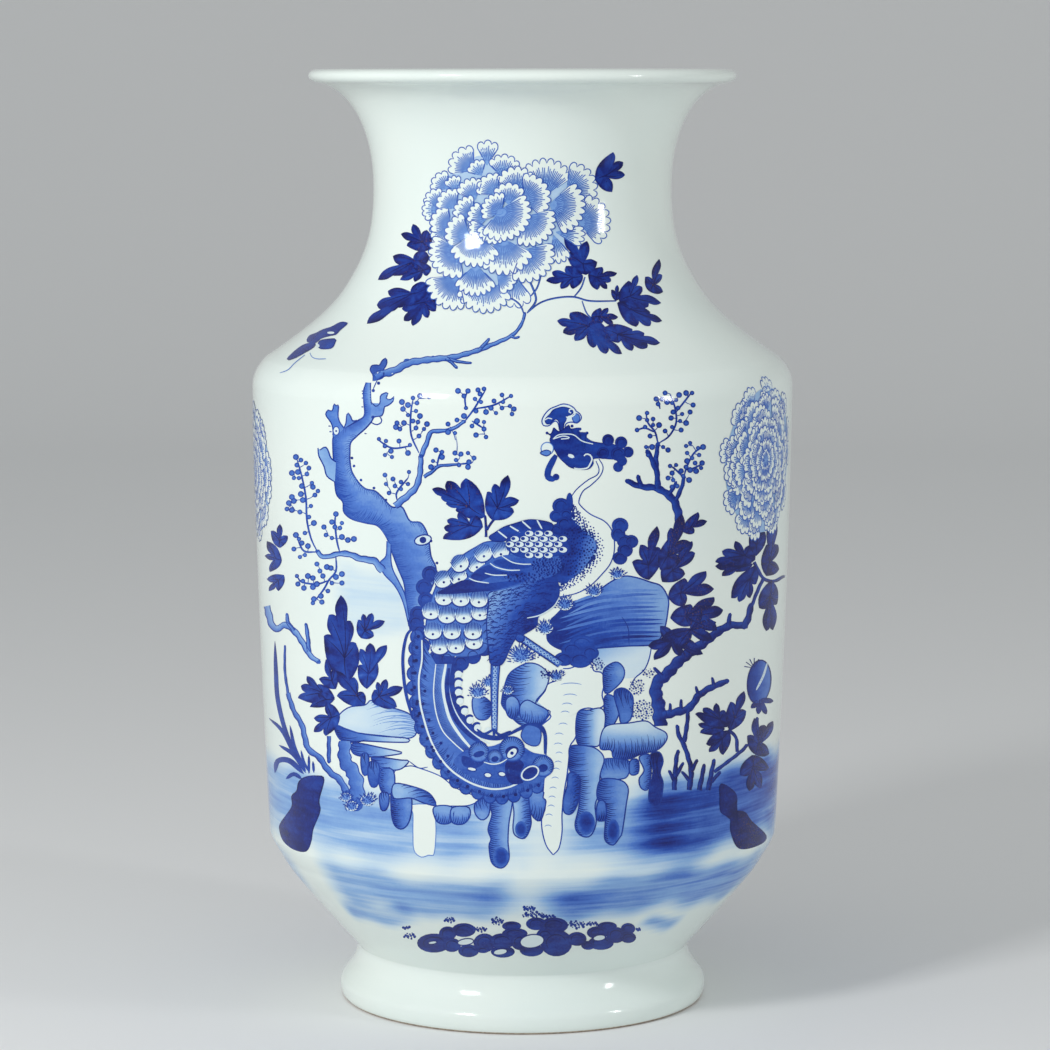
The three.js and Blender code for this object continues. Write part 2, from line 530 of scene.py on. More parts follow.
class Painting:
    """Collects strokes and turns them into one piece that lies on the vase.

    A stroke's cobalt runs from 0, bare glaze, to 1, the heaviest pool. Its level is its order: each
    level lies `level_lift` millimetres above the one below and covers it. Its points, widths and
    distances are in the drawing's pixels.
    """

    first_lift = 0.03
    level_lift = 0.006

    def __init__(self, name: str) -> None:
        """Starts an empty painting.

        Args:
            name: The piece's name.
        """
        self.name = name
        self.strokes: list[Stroke] = []

    def sheets(self, grid: Array, cobalt: Array | float, level: Array | float) -> None:
        """Adds sheets, where a plain number gives one strength all over.

        Args:
            grid: Points of one sheet or of many.
            cobalt: Strength of the cobalt.
            level: Their order.
        """
        grid = grid if grid.ndim == 4 else grid[None]
        levels = np.broadcast_to(np.asarray(level, float), (len(grid),))
        self.strokes.append(Stroke(grid, np.broadcast_to(cobalt, grid.shape[:3]).astype(float), levels))

    def line(self, points: Array, width: float = 1.2, strength: float = 0.8, level: float = 3,
             taper: float = 0.6, spacing: float = 2.5) -> None:
        """A drawn line: half width = width/2 (1 - taper (2t-1)^4) on either side of the path.

        Args:
            points: Its path.
            width: Its width.
            strength: Its cobalt.
            level: Its order.
            taper: How much thinner its ends are, as a share.
            spacing: Distance between its samples.
        """
        path = flowing(points, spacing)
        t = np.linspace(-1, 1, len(path))
        half = (width / 2 * (1 - taper * t**4))[:, None]
        side = sideways_of(path)
        self.sheets(np.stack([path - side * half, path + side * half], axis=1), strength, level)

    def lash(self, starts: Array, ends: Array, width: float, strength: float, level: float,
             bow: float = 0.0, taper: float = 0.85) -> None:
        """Many short tapering lines at once, each bowed sideways by a share of its length.

        Args:
            starts: Where the lines start.
            ends: Where they end.
            width: Their width at the start.
            strength: Their cobalt.
            level: Their order.
            bow: Their bend as a share of their length.
            taper: How much thinner their ends are, as a share.
        """
        if not len(starts):
            return
        starts, ends = np.asarray(starts, float)[:, None], np.asarray(ends, float)[:, None]
        way = ends - starts
        longest = float(np.linalg.norm(way, axis=-1).max())
        t = np.linspace(0, 1, max(3, int(longest / 3.2) + 1))[None, :, None]
        side = np.stack([-way[..., 1], way[..., 0]], axis=-1)
        path = starts + way * t + side * bow * 4 * t * (1 - t)
        side = side / np.maximum(np.linalg.norm(side, axis=-1, keepdims=True), 1e-9)
        half = width / 2 * (1 - taper * t**2)
        self.sheets(np.stack([path - side * half, path + side * half], axis=2), strength, level)

    def between(self, one: Array, other: Array, tone: object, level: float = 1, spacing: float = 3.0) -> None:
        """A wash ruled from one edge to the other. `tone(along, across)` gives its strength.

        Args:
            one: The first edge.
            other: The second edge.
            tone: A number or a function.
            level: Its order.
            spacing: Distance between its samples.
        """
        a, b = flowing(one, spacing), flowing(other, spacing)
        count = max(len(a), len(b))
        a, b = even(a, count), even(b, count)
        widest = float(np.hypot(*(a - b).T).max())
        across = np.linspace(0, 1, max(3, int(widest / spacing) + 2))
        grid = a[:, None] * (1 - across[None, :, None]) + b[:, None] * across[None, :, None]
        along = np.linspace(0, 1, count)[:, None] * np.ones_like(across)[None]
        shade = tone(along, across[None] * np.ones_like(along)) if callable(tone) else tone
        self.sheets(grid, shade, level)

    def patch(self, outline: Array, tone: object, level: float, ink: float = 0.0, width: float = 1.2,
              heart: tuple | None = None, spacing: float = 2.6) -> Array:
        """A closed shape filled as a fan: point = heart + v (edge - heart).

        Args:
            outline: Its corners, which a smooth closed line joins.
            tone: Its cobalt, or a function of points and v.
            level: Its order.
            ink: Cobalt of the line round it, or 0 for none.
            width: Width of that line.
            heart: A point that sees the whole edge, or None for the mean of the corners.
            spacing: Distance between the edge's points.

        Returns:
            The edge's points.
        """
        corners = np.asarray(outline, float)
        middle = corners.mean(0) if heart is None else np.asarray(heart, float)
        edge = flowing(np.vstack([corners, corners[:1]]), spacing)
        reach = np.hypot(*(edge - middle).T).max()
        # The innermost ring is all but closed, so that no hole shows and no face is flat.
        share = np.append(np.linspace(0.004, 0.84, max(3, int(reach / 3.6))), [0.92, 1.0])
        grid = middle + (edge - middle)[None] * share[:, None, None]
        shade = tone(grid, share[:, None] * np.ones(len(edge))) if callable(tone) else tone
        self.sheets(grid, shade, level)
        if ink:
            side = sideways_of(edge) * width / 2
            self.sheets(np.stack([edge - side, edge + side], axis=1), ink, level + 0.6)
        return edge

    def blobs(self, centres: Array, radii: Array, tone: object, level: float, sides: int = 12,
              step: float = 0.0) -> None:
        """Round or oval dabs. `tone(share)` gives the strength from the middle, 0, to the edge, 1.

        Args:
            centres: Their middles.
            radii: One radius, or a row of one or two for each.
            tone: A number or a function.
            level: Order of the first.
            sides: Number of corners.
            step: How much each is above the one before.
        """
        share = np.array([0.005, 0.5, 0.78, 1.0])
        turn = np.linspace(0, 2 * math.pi, sides + 1)
        centres = np.asarray(centres, float)
        size = np.asarray(radii, float)
        size = np.broadcast_to(size.reshape(len(size), -1) if size.ndim else size, (len(centres), 2))
        rim = size[:, None] * np.stack([np.cos(turn), np.sin(turn)], axis=-1)[None]
        grid = centres[:, None, None] + share[None, :, None, None] * rim[:, None]
        shade = tone(share)[None, :, None] if callable(tone) else tone
        self.sheets(grid, np.broadcast_to(shade, grid.shape[:3]), level + step * np.arange(len(centres)))

    def build(self, chart: SeenChart | RolledChart, paint: bpy.types.Material) -> bpy.types.Object:
        """Lays every stroke on the vase as one mesh.

        Args:
            chart: How the drawing is carried onto the vase.
            paint: The cobalt's material.

        Returns:
            The piece, riding on the vase.
        """
        points = np.vstack([s.grid.reshape(-1, 2) for s in self.strokes])
        level = np.concatenate([np.repeat(s.level, s.cobalt[0].size) for s in self.strokes])
        cobalt = np.concatenate([s.cobalt.ravel() for s in self.strokes])
        spots = chart.spots(points)
        lift = self.first_lift + self.level_lift * level
        places, normals = chart.surface.places(spots[:, 0], spots[:, 1], 0.0)
        places = places + normals * (lift * MM)[:, None]
        faces, start = [], 0
        for stroke in self.strokes:
            count, rows, columns = stroke.cobalt.shape
            block = grid_faces(rows, columns)
            offsets = start + np.arange(count) * rows * columns
            faces.append((offsets[:, None, None] + block[None]).reshape(-1, 4))
            start += stroke.cobalt.size
        quads = np.vstack(faces)
        return sheet_piece(self.name, places, normals, np.vstack([quads[:, :3], quads[:, [0, 2, 3]]]),
                           {"cobalt": np.clip(cobalt, 0, 1)}, paint)


def grid_faces(rows: int, columns: int) -> Array:
    """Four-cornered faces of a grid of points, row by row."""
    corner = (np.arange(rows - 1)[:, None] * columns + np.arange(columns - 1)[None]).ravel()
    return np.column_stack([corner, corner + 1, corner + columns + 1, corner + columns])


def sheet_piece(name: str, places: Array, normals: Array, faces: Array, values: dict,
                material: bpy.types.Material) -> bpy.types.Object:
    """Makes a mesh piece whose faces all look the way its normals do.

    Args:
        name: The piece's name.
        places: Points in metres.
        normals: Unit normals that shade it.
        faces: Rows of three point numbers.
        values: Point attributes by name.
        material: What it is made of.

    Returns:
        The piece, riding on the vase.
    """
    corners = places[faces]
    facing = np.cross(corners[:, 1] - corners[:, 0], corners[:, 2] - corners[:, 0])
    keep = np.linalg.norm(facing, axis=1) > 1e-12
    wrong = (facing * normals[faces].mean(1)).sum(1) < 0
    faces = np.where(wrong[:, None], faces[:, ::-1], faces)[keep]
    used, faces = np.unique(faces, return_inverse=True)
    faces = faces.reshape(-1, 3)
    mesh = bpy.data.meshes.new(name)
    mesh.from_pydata(places[used].tolist(), [], faces.tolist())
    mesh.polygons.foreach_set("use_smooth", np.ones(len(faces), bool))
    for key, numbers in values.items():
        mesh.attributes.new(key, "FLOAT", "POINT").data.foreach_set("value", numbers[used].astype(np.float32))
    mesh.normals_split_custom_set_from_vertices(normals[used].tolist())
    mesh.materials.append(material)
    piece = bpy.data.objects.new(name, mesh)
    bpy.context.scene.collection.objects.link(piece)
    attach(piece, ROOT)
    LOG.info("%s: %d faces", name, len(faces))
    return piece


# Motifs


# The golden angle in radians, which scatters marks evenly.
GOLDEN_TURN = 2.4
# Cobalt of what is left white, or nearly so, among darker strokes.
WHITE = 0.06
OFF_WHITE = 0.08
# Cobalt of a stone's outline, and how much darker than the stone its fine lines are.
STONE_INK = 0.8
COMB_INK = 0.24
# Depth of a leaf's gaps and bow of its sides, as shares of the distance between its corners.
LEAF_NOTCH = 0.5
LEAF_BOW = 0.2
# Swelling of a branch's knots as a share of its width.
LIMB_KNOTS = 0.16
# How much each lobe of a cloud is above the one before.
CLOUD_STEP = 0.5


class Fade(Enum):
    """Which way a shade runs from its first strength to its last."""

    RIGHT = (1.0, 0.0)
    LEFT = (-1.0, 0.0)
    DOWN = (0.0, 1.0)
    UP = (0.0, -1.0)


def smooth(value: Array, low: float | Array, high: float | Array) -> Array:
    """A smooth step from 0 at low to 1 at high: 3t^2 - 2t^3."""
    t = np.clip((value - low) / (high - low), 0, 1)
    return t * t * (3 - 2 * t)


def graded(start: tuple, near: float, end: tuple, far: float, rim: float = 0.0) -> Callable:
    """A tone that steps smoothly from `near` at one point to `far` at another, plus `rim` at the edge.

    Args:
        start: Where the shade starts.
        near: Its cobalt there.
        end: Where the shade ends.
        far: Its cobalt there.
        rim: How much deeper it is at the edge.

    Returns:
        A function of points and of their share of the way to the edge.
    """
    first = np.asarray(start, float)
    way = np.asarray(end, float) - first

    def tone(points: Array, share: Array) -> Array:
        """The strength at points of the drawing."""
        along = ((points - first) @ way) / (way @ way)
        return near + (far - near) * smooth(along, 0.0, 1.0) + rim * smooth(share, 0.55, 1.0)

    return tone


def ring(x: float, y: float, wide: float, high: float, tilt: float = 0.0, count: int = 18) -> Array:
    """Corners of an oval of two half widths, turned by a number of degrees.

    Args:
        x: Its middle across.
        y: Its middle down.
        wide: Half its width.
        high: Half its height.
        tilt: Its turn in degrees.
        count: Number of corners.

    Returns:
        The corners in rows.
    """
    turn = np.linspace(0, 2 * math.pi, count + 1)[:-1]
    a = math.radians(tilt)
    flat = np.column_stack([wide * np.cos(turn), high * np.sin(turn)])
    return np.array([x, y]) + flat @ np.array([[math.cos(a), math.sin(a)], [-math.sin(a), math.cos(a)]])


def petal(painting: Painting, root: tuple, tip: tuple, half_angle: float, scallops: int, level: float,
          shade: float = 0.38, ink: float = 0.62, fine: float = 2.7) -> None:
    """A fan-shaped petal with a scalloped white edge.

    A point of it is root + v L(u) (cos, sin)(angle + u half_angle), where L(u) = L (1 - 0.1 u^2)
    (0.86 + 0.14 |sin|^0.6) swells in scallops and v runs from root to edge. The blue fades out
    towards the edge, fine lines run out of the root and a line goes round the edge.

    Args:
        painting: Where it is drawn.
        root: Its root.
        tip: The middle of its edge.
        half_angle: Half of its spread in degrees.
        scallops: Number of scallops.
        level: Its order.
        shade: Cobalt at the root.
        ink: Cobalt of the lines.
        fine: Distance between the lines at the edge.
    """
    a, b = np.asarray(root, float), np.asarray(tip, float)
    length = math.dist(a, b)
    u = np.linspace(-1, 1, scallops * 6 + 1)
    aim = math.atan2(*(b - a)[::-1]) + u * math.radians(half_angle)
    swell = 0.86 + 0.14 * np.abs(np.sin(np.pi * scallops * (u + 1) / 2)) ** 0.6
    reach = length * (1 - 0.10 * u**2) * swell
    edge = a + np.column_stack([np.cos(aim), np.sin(aim)]) * reach[:, None]
    v = np.append(np.linspace(0.03, 0.8, max(4, int(length / 3.2))), [0.86, 0.93, 1.0])
    grid = a + (edge - a)[None] * v[:, None, None]
    painting.sheets(grid, shade * (1 - smooth(v, 0.3, 0.84))[:, None], level)
    count = max(5, int(length * math.radians(half_angle) * 2 / fine))
    across = np.linspace(-0.93, 0.93, count)
    ends = np.column_stack([np.interp(across, u, edge[:, 0]), np.interp(across, u, edge[:, 1])])
    near = np.where(np.arange(count) % 2, 0.4, 0.22)[:, None]
    far = 0.76 + 0.04 * np.cos(np.arange(count) * 2.4)[:, None]
    painting.lash(a + (ends - a) * far, a + (ends - a) * near, 0.95, ink, level + 0.8, 0.0, 0.4)
    rim = np.vstack([a + (edge[0] - a) * 0.5, edge, a + (edge[-1] - a) * 0.5])
    side = sideways_of(rim) * 0.55
    painting.sheets(np.stack([rim - side, rim + side], axis=1), ink, level + 1.2)


def full_peony(painting: Painting, heart: tuple, reach: float, rings: int, level: float = 0.0) -> None:
    """A peony seen from above: rings of petals, each ring turned and drawn over the one outside it.

    Petal k of ring r points along 2 pi (k + r/2) / n, jogged by a sine, with its edge at
    reach r / rings from the heart.

    Args:
        painting: Where it is drawn.
        heart: Its middle.
        reach: Radius of the whole flower.
        rings: Number of rings.
        level: Its order.
    """
    middle = np.asarray(heart, float)
    painting.patch(ring(*heart, reach * 0.92, reach * 0.92), 0.27, level - 1)
    drawn = 0
    for step in range(rings, 0, -1):
        count = 3 + 3 * step
        outer = reach * step / rings
        for number in range(count):
            aim = 2 * math.pi * (number + step / 2) / count + 0.14 * math.sin(number * 2.3 + step)
            way = np.array([math.cos(aim), math.sin(aim)])
            far = outer * (1 + 0.06 * math.sin(number * 3.1 + step * 1.7))
            root = middle + way * max(0.0, far - reach / rings * 2.1)
            spread = 40 + 4 * (number % 3)
            petal(painting, root, middle + way * far, spread, 4, level + drawn * 0.5, fine=2.9)
            drawn += 1


def leaf(painting: Painting, base: tuple, tips: tuple, level: float, tone: float) -> None:
    """A lobed leaf: a star outline through its tips, each side of a lobe bowed outwards.

    Between two tips the outline comes in towards the heart by LEAF_NOTCH times the tips' distance,
    and each side bows out by LEAF_BOW times its length. The shape is filled as a fan, with streaks
    that follow the lobes and a darker rim.

    Args:
        painting: Where it is drawn.
        base: Where its stalk joins.
        tips: The points of its lobes.
        level: Its order.
        tone: Its cobalt.
    """
    root, points = np.asarray(base, float), np.asarray(tips, float)
    heart = root + 0.42 * (points.mean(0) - root)
    aim = np.arctan2(*(points - heart).T[::-1]) - math.atan2(*(root - heart)[::-1])
    points = points[np.argsort(aim % (2 * math.pi))]
    middle = (points[:-1] + points[1:]) / 2
    gap = np.hypot(*(points[1:] - points[:-1]).T)
    inward = heart - middle
    distance = np.maximum(np.hypot(*inward.T), 1e-6)
    corners = np.vstack([root, np.repeat(points, 2, axis=0)[:-1], root])
    corners[2:-1:2] = middle + inward * (np.minimum(LEAF_NOTCH * gap, 0.7 * distance) / distance)[:, None]
    turning = (corners[:-1, 0] * corners[1:, 1] - corners[1:, 0] * corners[:-1, 1]).sum()
    way = np.diff(corners, axis=0)
    out = np.column_stack([way[:, 1], -way[:, 0]]) * math.copysign(1, turning)
    t = np.linspace(0, 1, 9)[None, :-1, None]
    edge = corners[:-1, None] + way[:, None] * t + out[:, None] * LEAF_BOW * 4 * t * (1 - t) * (1 - 0.4 * t)
    edge = np.vstack([edge.reshape(-1, 2), root])
    share = np.array([0.004, 0.35, 0.7, 0.88, 1.0])[:, None]
    turn = np.arctan2(*(edge - heart).T[::-1])[None]
    streak = 0.09 * np.sin(turn * 5 + root[0]) + 0.05 * np.sin(turn * 17 + root[1])
    shade = tone - 0.06 + streak * share + 0.12 * smooth(share, 0.7, 1.0)
    painting.sheets(heart + (edge - heart)[None] * share[..., None], shade, level)
    ribs = np.vstack([points, root])
    painting.lash(np.broadcast_to(heart, ribs.shape), heart + (ribs - heart) * 0.9, 1.1, min(1, tone + 0.14),
                  level + 0.4, 0.04)


def stone(painting: Painting, fade: Fade, near: float, far: float, outline: tuple, level: float) -> None:
    """A stone: a rounded shape that fades one way, with fine lines across its darker side.

    Args:
        painting: Where it is drawn.
        fade: Which way it fades.
        near: Cobalt where the fade starts.
        far: Cobalt where it ends.
        outline: Its corners.
        level: Its order.
    """
    corners = np.asarray(outline, float)
    way = np.array(fade.value)
    reach = corners @ way
    start = corners.mean(0) + way * (reach.min() - corners.mean(0) @ way)
    end = start + way * (reach.max() - reach.min())
    edge = painting.patch(corners, graded(start, near, end, far, 0.05), level, STONE_INK, 1.3)
    comb_lines(painting, edge, fade, min(1.0, max(near, far) + COMB_INK), level + 0.4)


def comb_lines(painting: Painting, edge: Array, fade: Fade, strength: float, level: float) -> None:
    """Fine lines side by side from one side of a closed edge, each over about half of the shape's width.

    Args:
        painting: Where they are drawn.
        edge: The closed edge.
        fade: Which way the shape fades.
        strength: Their cobalt.
        level: Their order.
    """
    axis = 0 if fade.value[0] else 1
    rows = np.arange(edge[:, 1 - axis].min() + 2, edge[:, 1 - axis].max() - 2, 2.1)
    if not len(rows):
        return
    a, b = edge[:-1], edge[1:]
    low, high = a[:, 1 - axis], b[:, 1 - axis]
    crossed = (low[None] <= rows[:, None]) != (high[None] <= rows[:, None])
    rise = np.where(np.abs(high - low) < 1e-6, 1e-6, high - low)
    spot = a[:, axis] + (rows[:, None] - low) * (b[:, axis] - a[:, axis]) / rise
    first = np.where(crossed, spot, np.inf).min(1)
    last = np.where(crossed, spot, -np.inf).max(1)
    good = np.isfinite(first) & np.isfinite(last)
    rows, first, last = rows[good], first[good], last[good]
    if sum(fade.value) < 0:
        first, last = last, first
    reach = (last - first) * 0.56 * (0.8 + 0.25 * np.sin(rows * 1.9))
    starts, ends = np.empty((len(rows), 2)), np.empty((len(rows), 2))
    starts[:, axis], starts[:, 1 - axis] = first, rows
    ends[:, axis], ends[:, 1 - axis] = first + reach, rows + 1.5
    painting.lash(starts, ends, 1.05, strength, level, 0.1)


def limb(painting: Painting, points: tuple, start: float, end: float, tone: float, level: float,
         ink: float = 0.8) -> None:
    """A branch: half width goes from start/2 to end/2 along its path, swollen by knots, lighter on one side.

    Args:
        painting: Where it is drawn.
        points: Its path.
        start: Width where it starts.
        end: Width where it ends.
        tone: Its cobalt.
        level: Its order.
        ink: Cobalt of its outline.
    """
    path = flowing(points, 2.2)
    t = np.linspace(0, 1, len(path))
    along = t * length_of(path)
    width = (start + (end - start) * t) / 2
    one = width * (1 + LIMB_KNOTS * np.sin(along * 0.62 + path[0, 0]))
    other = width * (1 + LIMB_KNOTS * np.sin(along * 0.49 + path[0, 1]))
    side = sideways_of(path)
    left, right = path + side * one[:, None], path - side * other[:, None]
    across = np.linspace(0, 1, 4)[None, :, None]
    shade = np.broadcast_to(tone + 0.12 - 0.24 * across[..., 0], (len(path), 4))
    painting.sheets(left[:, None] * (1 - across) + right[:, None] * across, shade, level)
    painting.line(left, 1.2, ink, level + 0.5, 0.2)
    painting.line(right, 1.0, ink - 0.06, level + 0.5, 0.2)
    painting.blobs(path[-1:], np.array([max(1.0, end / 2)]), ink - 0.1, level + 0.3, 10)


def moss(painting: Painting, centre: tuple, radius: float, count: int, level: float,
         ink: float = 0.8) -> None:
    """A tuft of moss: short strokes, leaning up and out, in a flattened round of radius r (0.84 + sines).

    Args:
        painting: Where it is drawn.
        centre: Its middle.
        radius: Its radius.
        count: Number of strokes.
        level: Its order.
        ink: Cobalt of the strokes.
    """
    painting.blobs([centre], [(radius * 0.8, radius * 0.62)],
                   lambda share: 0.5 * (1 - smooth(share, 0.5, 1.0)), level - 0.5, 14)
    number = np.arange(count)
    angle = number * GOLDEN_TURN
    bulge = 0.84 + 0.14 * np.sin(angle * 3 + centre[0]) + 0.1 * np.sin(angle * 5 + centre[1])
    out = np.column_stack([np.cos(angle), 0.78 * np.sin(angle)])
    start = np.asarray(centre, float) + out * (radius * bulge * np.sqrt((number + 0.5) / count))[:, None]
    lean = out + np.column_stack([0.4 * np.sin(number * 1.3), np.full(count, -0.5)])
    length = radius * (0.27 + 0.08 * np.sin(number * 1.7))[:, None]
    painting.lash(start, start + lean * length, 1.5, ink, level)


def rays(painting: Painting, centre: tuple, inner: float, outer: float, turn: tuple, count: int, level: float,
         ink: float = 0.85) -> None:
    """Fine lines round part of a circle, between two distances from its middle.

    Args:
        painting: Where they are drawn.
        centre: The circle's middle.
        inner: Where they end.
        outer: Where they start.
        turn: First and last angle.
        count: Number of lines.
        level: Their order.
        ink: Their cobalt.
    """
    angle = np.linspace(*turn, count)
    out = np.column_stack([np.cos(angle), np.sin(angle)])
    painting.lash(np.asarray(centre) + out * outer, np.asarray(centre) + out * inner, 0.9, ink, level)


def clouds(painting: Painting, rows: tuple, tone: float, level: float) -> None:
    """Clouded lobes that run together: rows of place, half width and half height, the larger with a curl.

    Args:
        painting: Where they are drawn.
        rows: The lobes.
        tone: Their cobalt.
        level: Order of the first.
    """
    table = np.asarray(rows, float)
    painting.blobs(table[:, :2], table[:, 2:], lambda share: tone + 0.05 * smooth(share, 0.7, 1.0), level,
                   18, CLOUD_STEP)
    turn = np.linspace(2.6, 6.0, 7)
    for x, y, wide, high in table:
        if wide > 5:
            curl = np.column_stack([x + 0.62 * wide * np.cos(turn), y + 0.62 * high * np.sin(turn)])
            painting.line(curl, 0.9, min(1, tone + 0.14), level + CLOUD_STEP * len(table) + 0.3)


def speckles(painting: Painting, rows: tuple, level: float, strength: float = 0.8, size: float = 0.9) -> None:
    """Clumps of specks in ovals: speck n lies at angle n GOLDEN_TURN and at the square root of its share.

    Args:
        painting: Where they are drawn.
        rows: Each clump's place, half width, half height and number of specks.
        level: Their order.
        strength: Their cobalt.
        size: Mean radius of a speck.
    """
    for x, y, wide, high, count in rows:
        number = np.arange(count)
        far = np.sqrt((number + 0.5) / count)
        turn = number * GOLDEN_TURN
        spots = np.column_stack([x + wide * far * np.cos(turn), y + high * far * np.sin(turn)])
        painting.blobs(spots, size * (0.8 + 0.4 * np.sin(number * 1.7)) + 0.1, strength, level, 7)


def berries(painting: Painting, centres: tuple, twigs: tuple, level: float, size: float = 2.5,
            tone: float = 0.6) -> None:
    """Round berries on short stalks that branch off the twigs and off each other's stalks.

    Args:
        painting: Where they are drawn.
        centres: Their places.
        twigs: Paths of the twigs that carry them.
        level: Their order.
        size: Mean radius.
        tone: Their cobalt, darker at the rim.
    """
    spots = np.asarray(centres, float)
    joints = np.vstack([flowing(twig, 3.0) for twig in twigs])
    away = np.hypot(*(spots[:, None] - joints[None]).transpose(2, 0, 1)).min(1)
    starts = np.empty_like(spots)
    for number in np.argsort(away):
        way = joints - spots[number]
        best = np.argmin(np.hypot(*way.T) - 0.3 * way[:, 1])
        starts[number] = joints[best]
        joints = np.vstack([joints, (joints[best] + 2 * spots[number]) / 3])
    painting.lash(starts, spots, 0.9, min(1, tone + 0.1), level, 0.06)
    radii = size * (1 + 0.18 * np.sin(spots[:, 0] * 3.7 + spots[:, 1] * 2.9))
    painting.blobs(spots, radii, lambda share: tone + 0.2 * smooth(share, 0.5, 0.8), level + 1, 10)


def hatch(painting: Painting, edge: Array, length: float, spacing: float, strength: float, level: float,
          slant: float = 0.0, inward: float = 1.0, bow: float = 0.0) -> None:
    """Short lines side by side along an edge, pointing to its inward side.

    Args:
        painting: Where they are drawn.
        edge: The edge.
        length: Their mean length.
        spacing: Distance between them.
        strength: Their cobalt.
        level: Their order.
        slant: How much they lean along the edge.
        inward: 1 for one side of the edge, -1 for the other.
        bow: Their bend as a share of their length.
    """
    path = flowing(edge, spacing)
    side = sideways_of(path) * inward
    ahead = np.gradient(path, axis=0)
    ahead /= np.maximum(np.hypot(ahead[:, 0], ahead[:, 1]), 1e-9)[:, None]
    uneven = length * (0.8 + 0.25 * np.sin(np.arange(len(path)) * 1.9))
    painting.lash(path, path + (side + ahead * slant) * uneven[:, None], 0.9, strength, level, bow)


# Finishes


def socket_group(name: str, inputs: list[tuple], outputs: list[tuple]) -> bpy.types.NodeTree:
    """An empty shader node group with its named inputs and outputs.

    Args:
        name: The group's name.
        inputs: Rows of socket name, socket type and default value.
        outputs: Rows of socket name and socket type.

    Returns:
        The group, holding its two interface nodes.
    """
    group = bpy.data.node_groups.new(name, "ShaderNodeTree")
    for label, kind, value in inputs:
        made = group.interface.new_socket(name=label, in_out="INPUT", socket_type=kind)
        if value is not None:
            made.default_value = value
    for label, kind in outputs:
        group.interface.new_socket(name=label, in_out="OUTPUT", socket_type=kind)
    group.nodes.new("NodeGroupInput")
    group.nodes.new("NodeGroupOutput")
    return group


class Wiring:
    """Short ways to add and join the nodes of one tree."""

    def __init__(self, tree: bpy.types.NodeTree) -> None:
        """Works on a tree.

        Args:
            tree: The node tree.
        """
        self.tree = tree

    def node(self, kind: str, **settings: object) -> bpy.types.Node:
        """Adds a node with its settings.

        Args:
            kind: The node's type.
            settings: Its properties by name.

        Returns:
            The node.
        """
        made = self.tree.nodes.new(kind)
        for key, value in settings.items():
            setattr(made, key, value)
        return made

    def feed(self, target: bpy.types.NodeSocket, value: object) -> None:
        """Joins a socket to another, or sets its plain value.

        Args:
            target: The socket that is fed.
            value: Another socket or a plain value.
        """
        if isinstance(value, bpy.types.NodeSocket):
            self.tree.links.new(value, target)
        else:
            target.default_value = value

    def maths(self, operation: str, *values: object, clamp: bool = False) -> bpy.types.NodeSocket:
        """A Math node's result.

        Args:
            operation: Its operation.
            values: Its inputs.
            clamp: Whether it stays within 0 and 1.

        Returns:
            The socket with the result.
        """
        made = self.node("ShaderNodeMath", operation=operation, use_clamp=clamp)
        for place, value in enumerate(values):
            self.feed(made.inputs[place], value)
        return made.outputs[0]

    def ramp(self, value: object, low: float, high: float, start: float = 0.0, end: float = 1.0
             ) -> bpy.types.NodeSocket:
        """A smooth step from start to end as the value goes from low to high.

        Args:
            value: What goes in.
            low: Where the step starts.
            high: Where it ends.
            start: Result at the start.
            end: Result at the end.

        Returns:
            The socket with the result.
        """
        made = self.node("ShaderNodeMapRange", interpolation_type="SMOOTHSTEP")
        names = ("Value", "From Min", "From Max", "To Min", "To Max")
        for name, number in zip(names, (value, low, high, start, end)):
            self.feed(made.inputs[name], number)
        return made.outputs["Result"]

    def noise(self, place: object, scale: float, detail: float, rough: float) -> bpy.types.NodeSocket:
        """A noise texture's value at a place.

        Args:
            place: Where it is read.
            scale: Its scale.
            detail: Its detail.
            rough: Its roughness.

        Returns:
            The socket with the value.
        """
        made = self.node("ShaderNodeTexNoise")
        self.feed(made.inputs["Vector"], place)
        for name, number in (("Scale", scale), ("Detail", detail), ("Roughness", rough)):
            made.inputs[name].default_value = number
        return made.outputs["Fac"]

    def stretched(self, place: object, scale: tuple) -> bpy.types.NodeSocket:
        """A place scaled along each axis.

        Args:
            place: The place.
            scale: Factors along the three axes.

        Returns:
            The socket with the place.
        """
        made = self.node("ShaderNodeMapping")
        self.feed(made.inputs["Vector"], place)
        made.inputs["Scale"].default_value = scale
        return made.outputs["Vector"]

    def mixed(self, share: object, one: object, other: object) -> bpy.types.NodeSocket:
        """A colour between two colours.

        Args:
            share: How much of the other.
            one: A colour.
            other: Another.

        Returns:
            The socket with the colour.
        """
        made = self.node("ShaderNodeMix", data_type="RGBA")
        self.feed(made.inputs["Factor"], share)
        self.feed(made.inputs["A"], one)
        self.feed(made.inputs["B"], other)
        return made.outputs["Result"]


@dataclass(frozen=True)
class CobaltShades:
    """Colours of the cobalt under the glaze, from the faintest wash to the heaviest pool."""

    steps: tuple = (
        (0.0, (0.775, 0.845, 0.80)),
        (0.12, (0.56, 0.70, 0.80)),
        (0.3, (0.25, 0.43, 0.72)),
        (0.5, (0.075, 0.19, 0.58)),
        (0.7, (0.012, 0.062, 0.38)),
        (0.88, (0.004, 0.018, 0.20)),
        (1.0, (0.003, 0.006, 0.09)),
    )


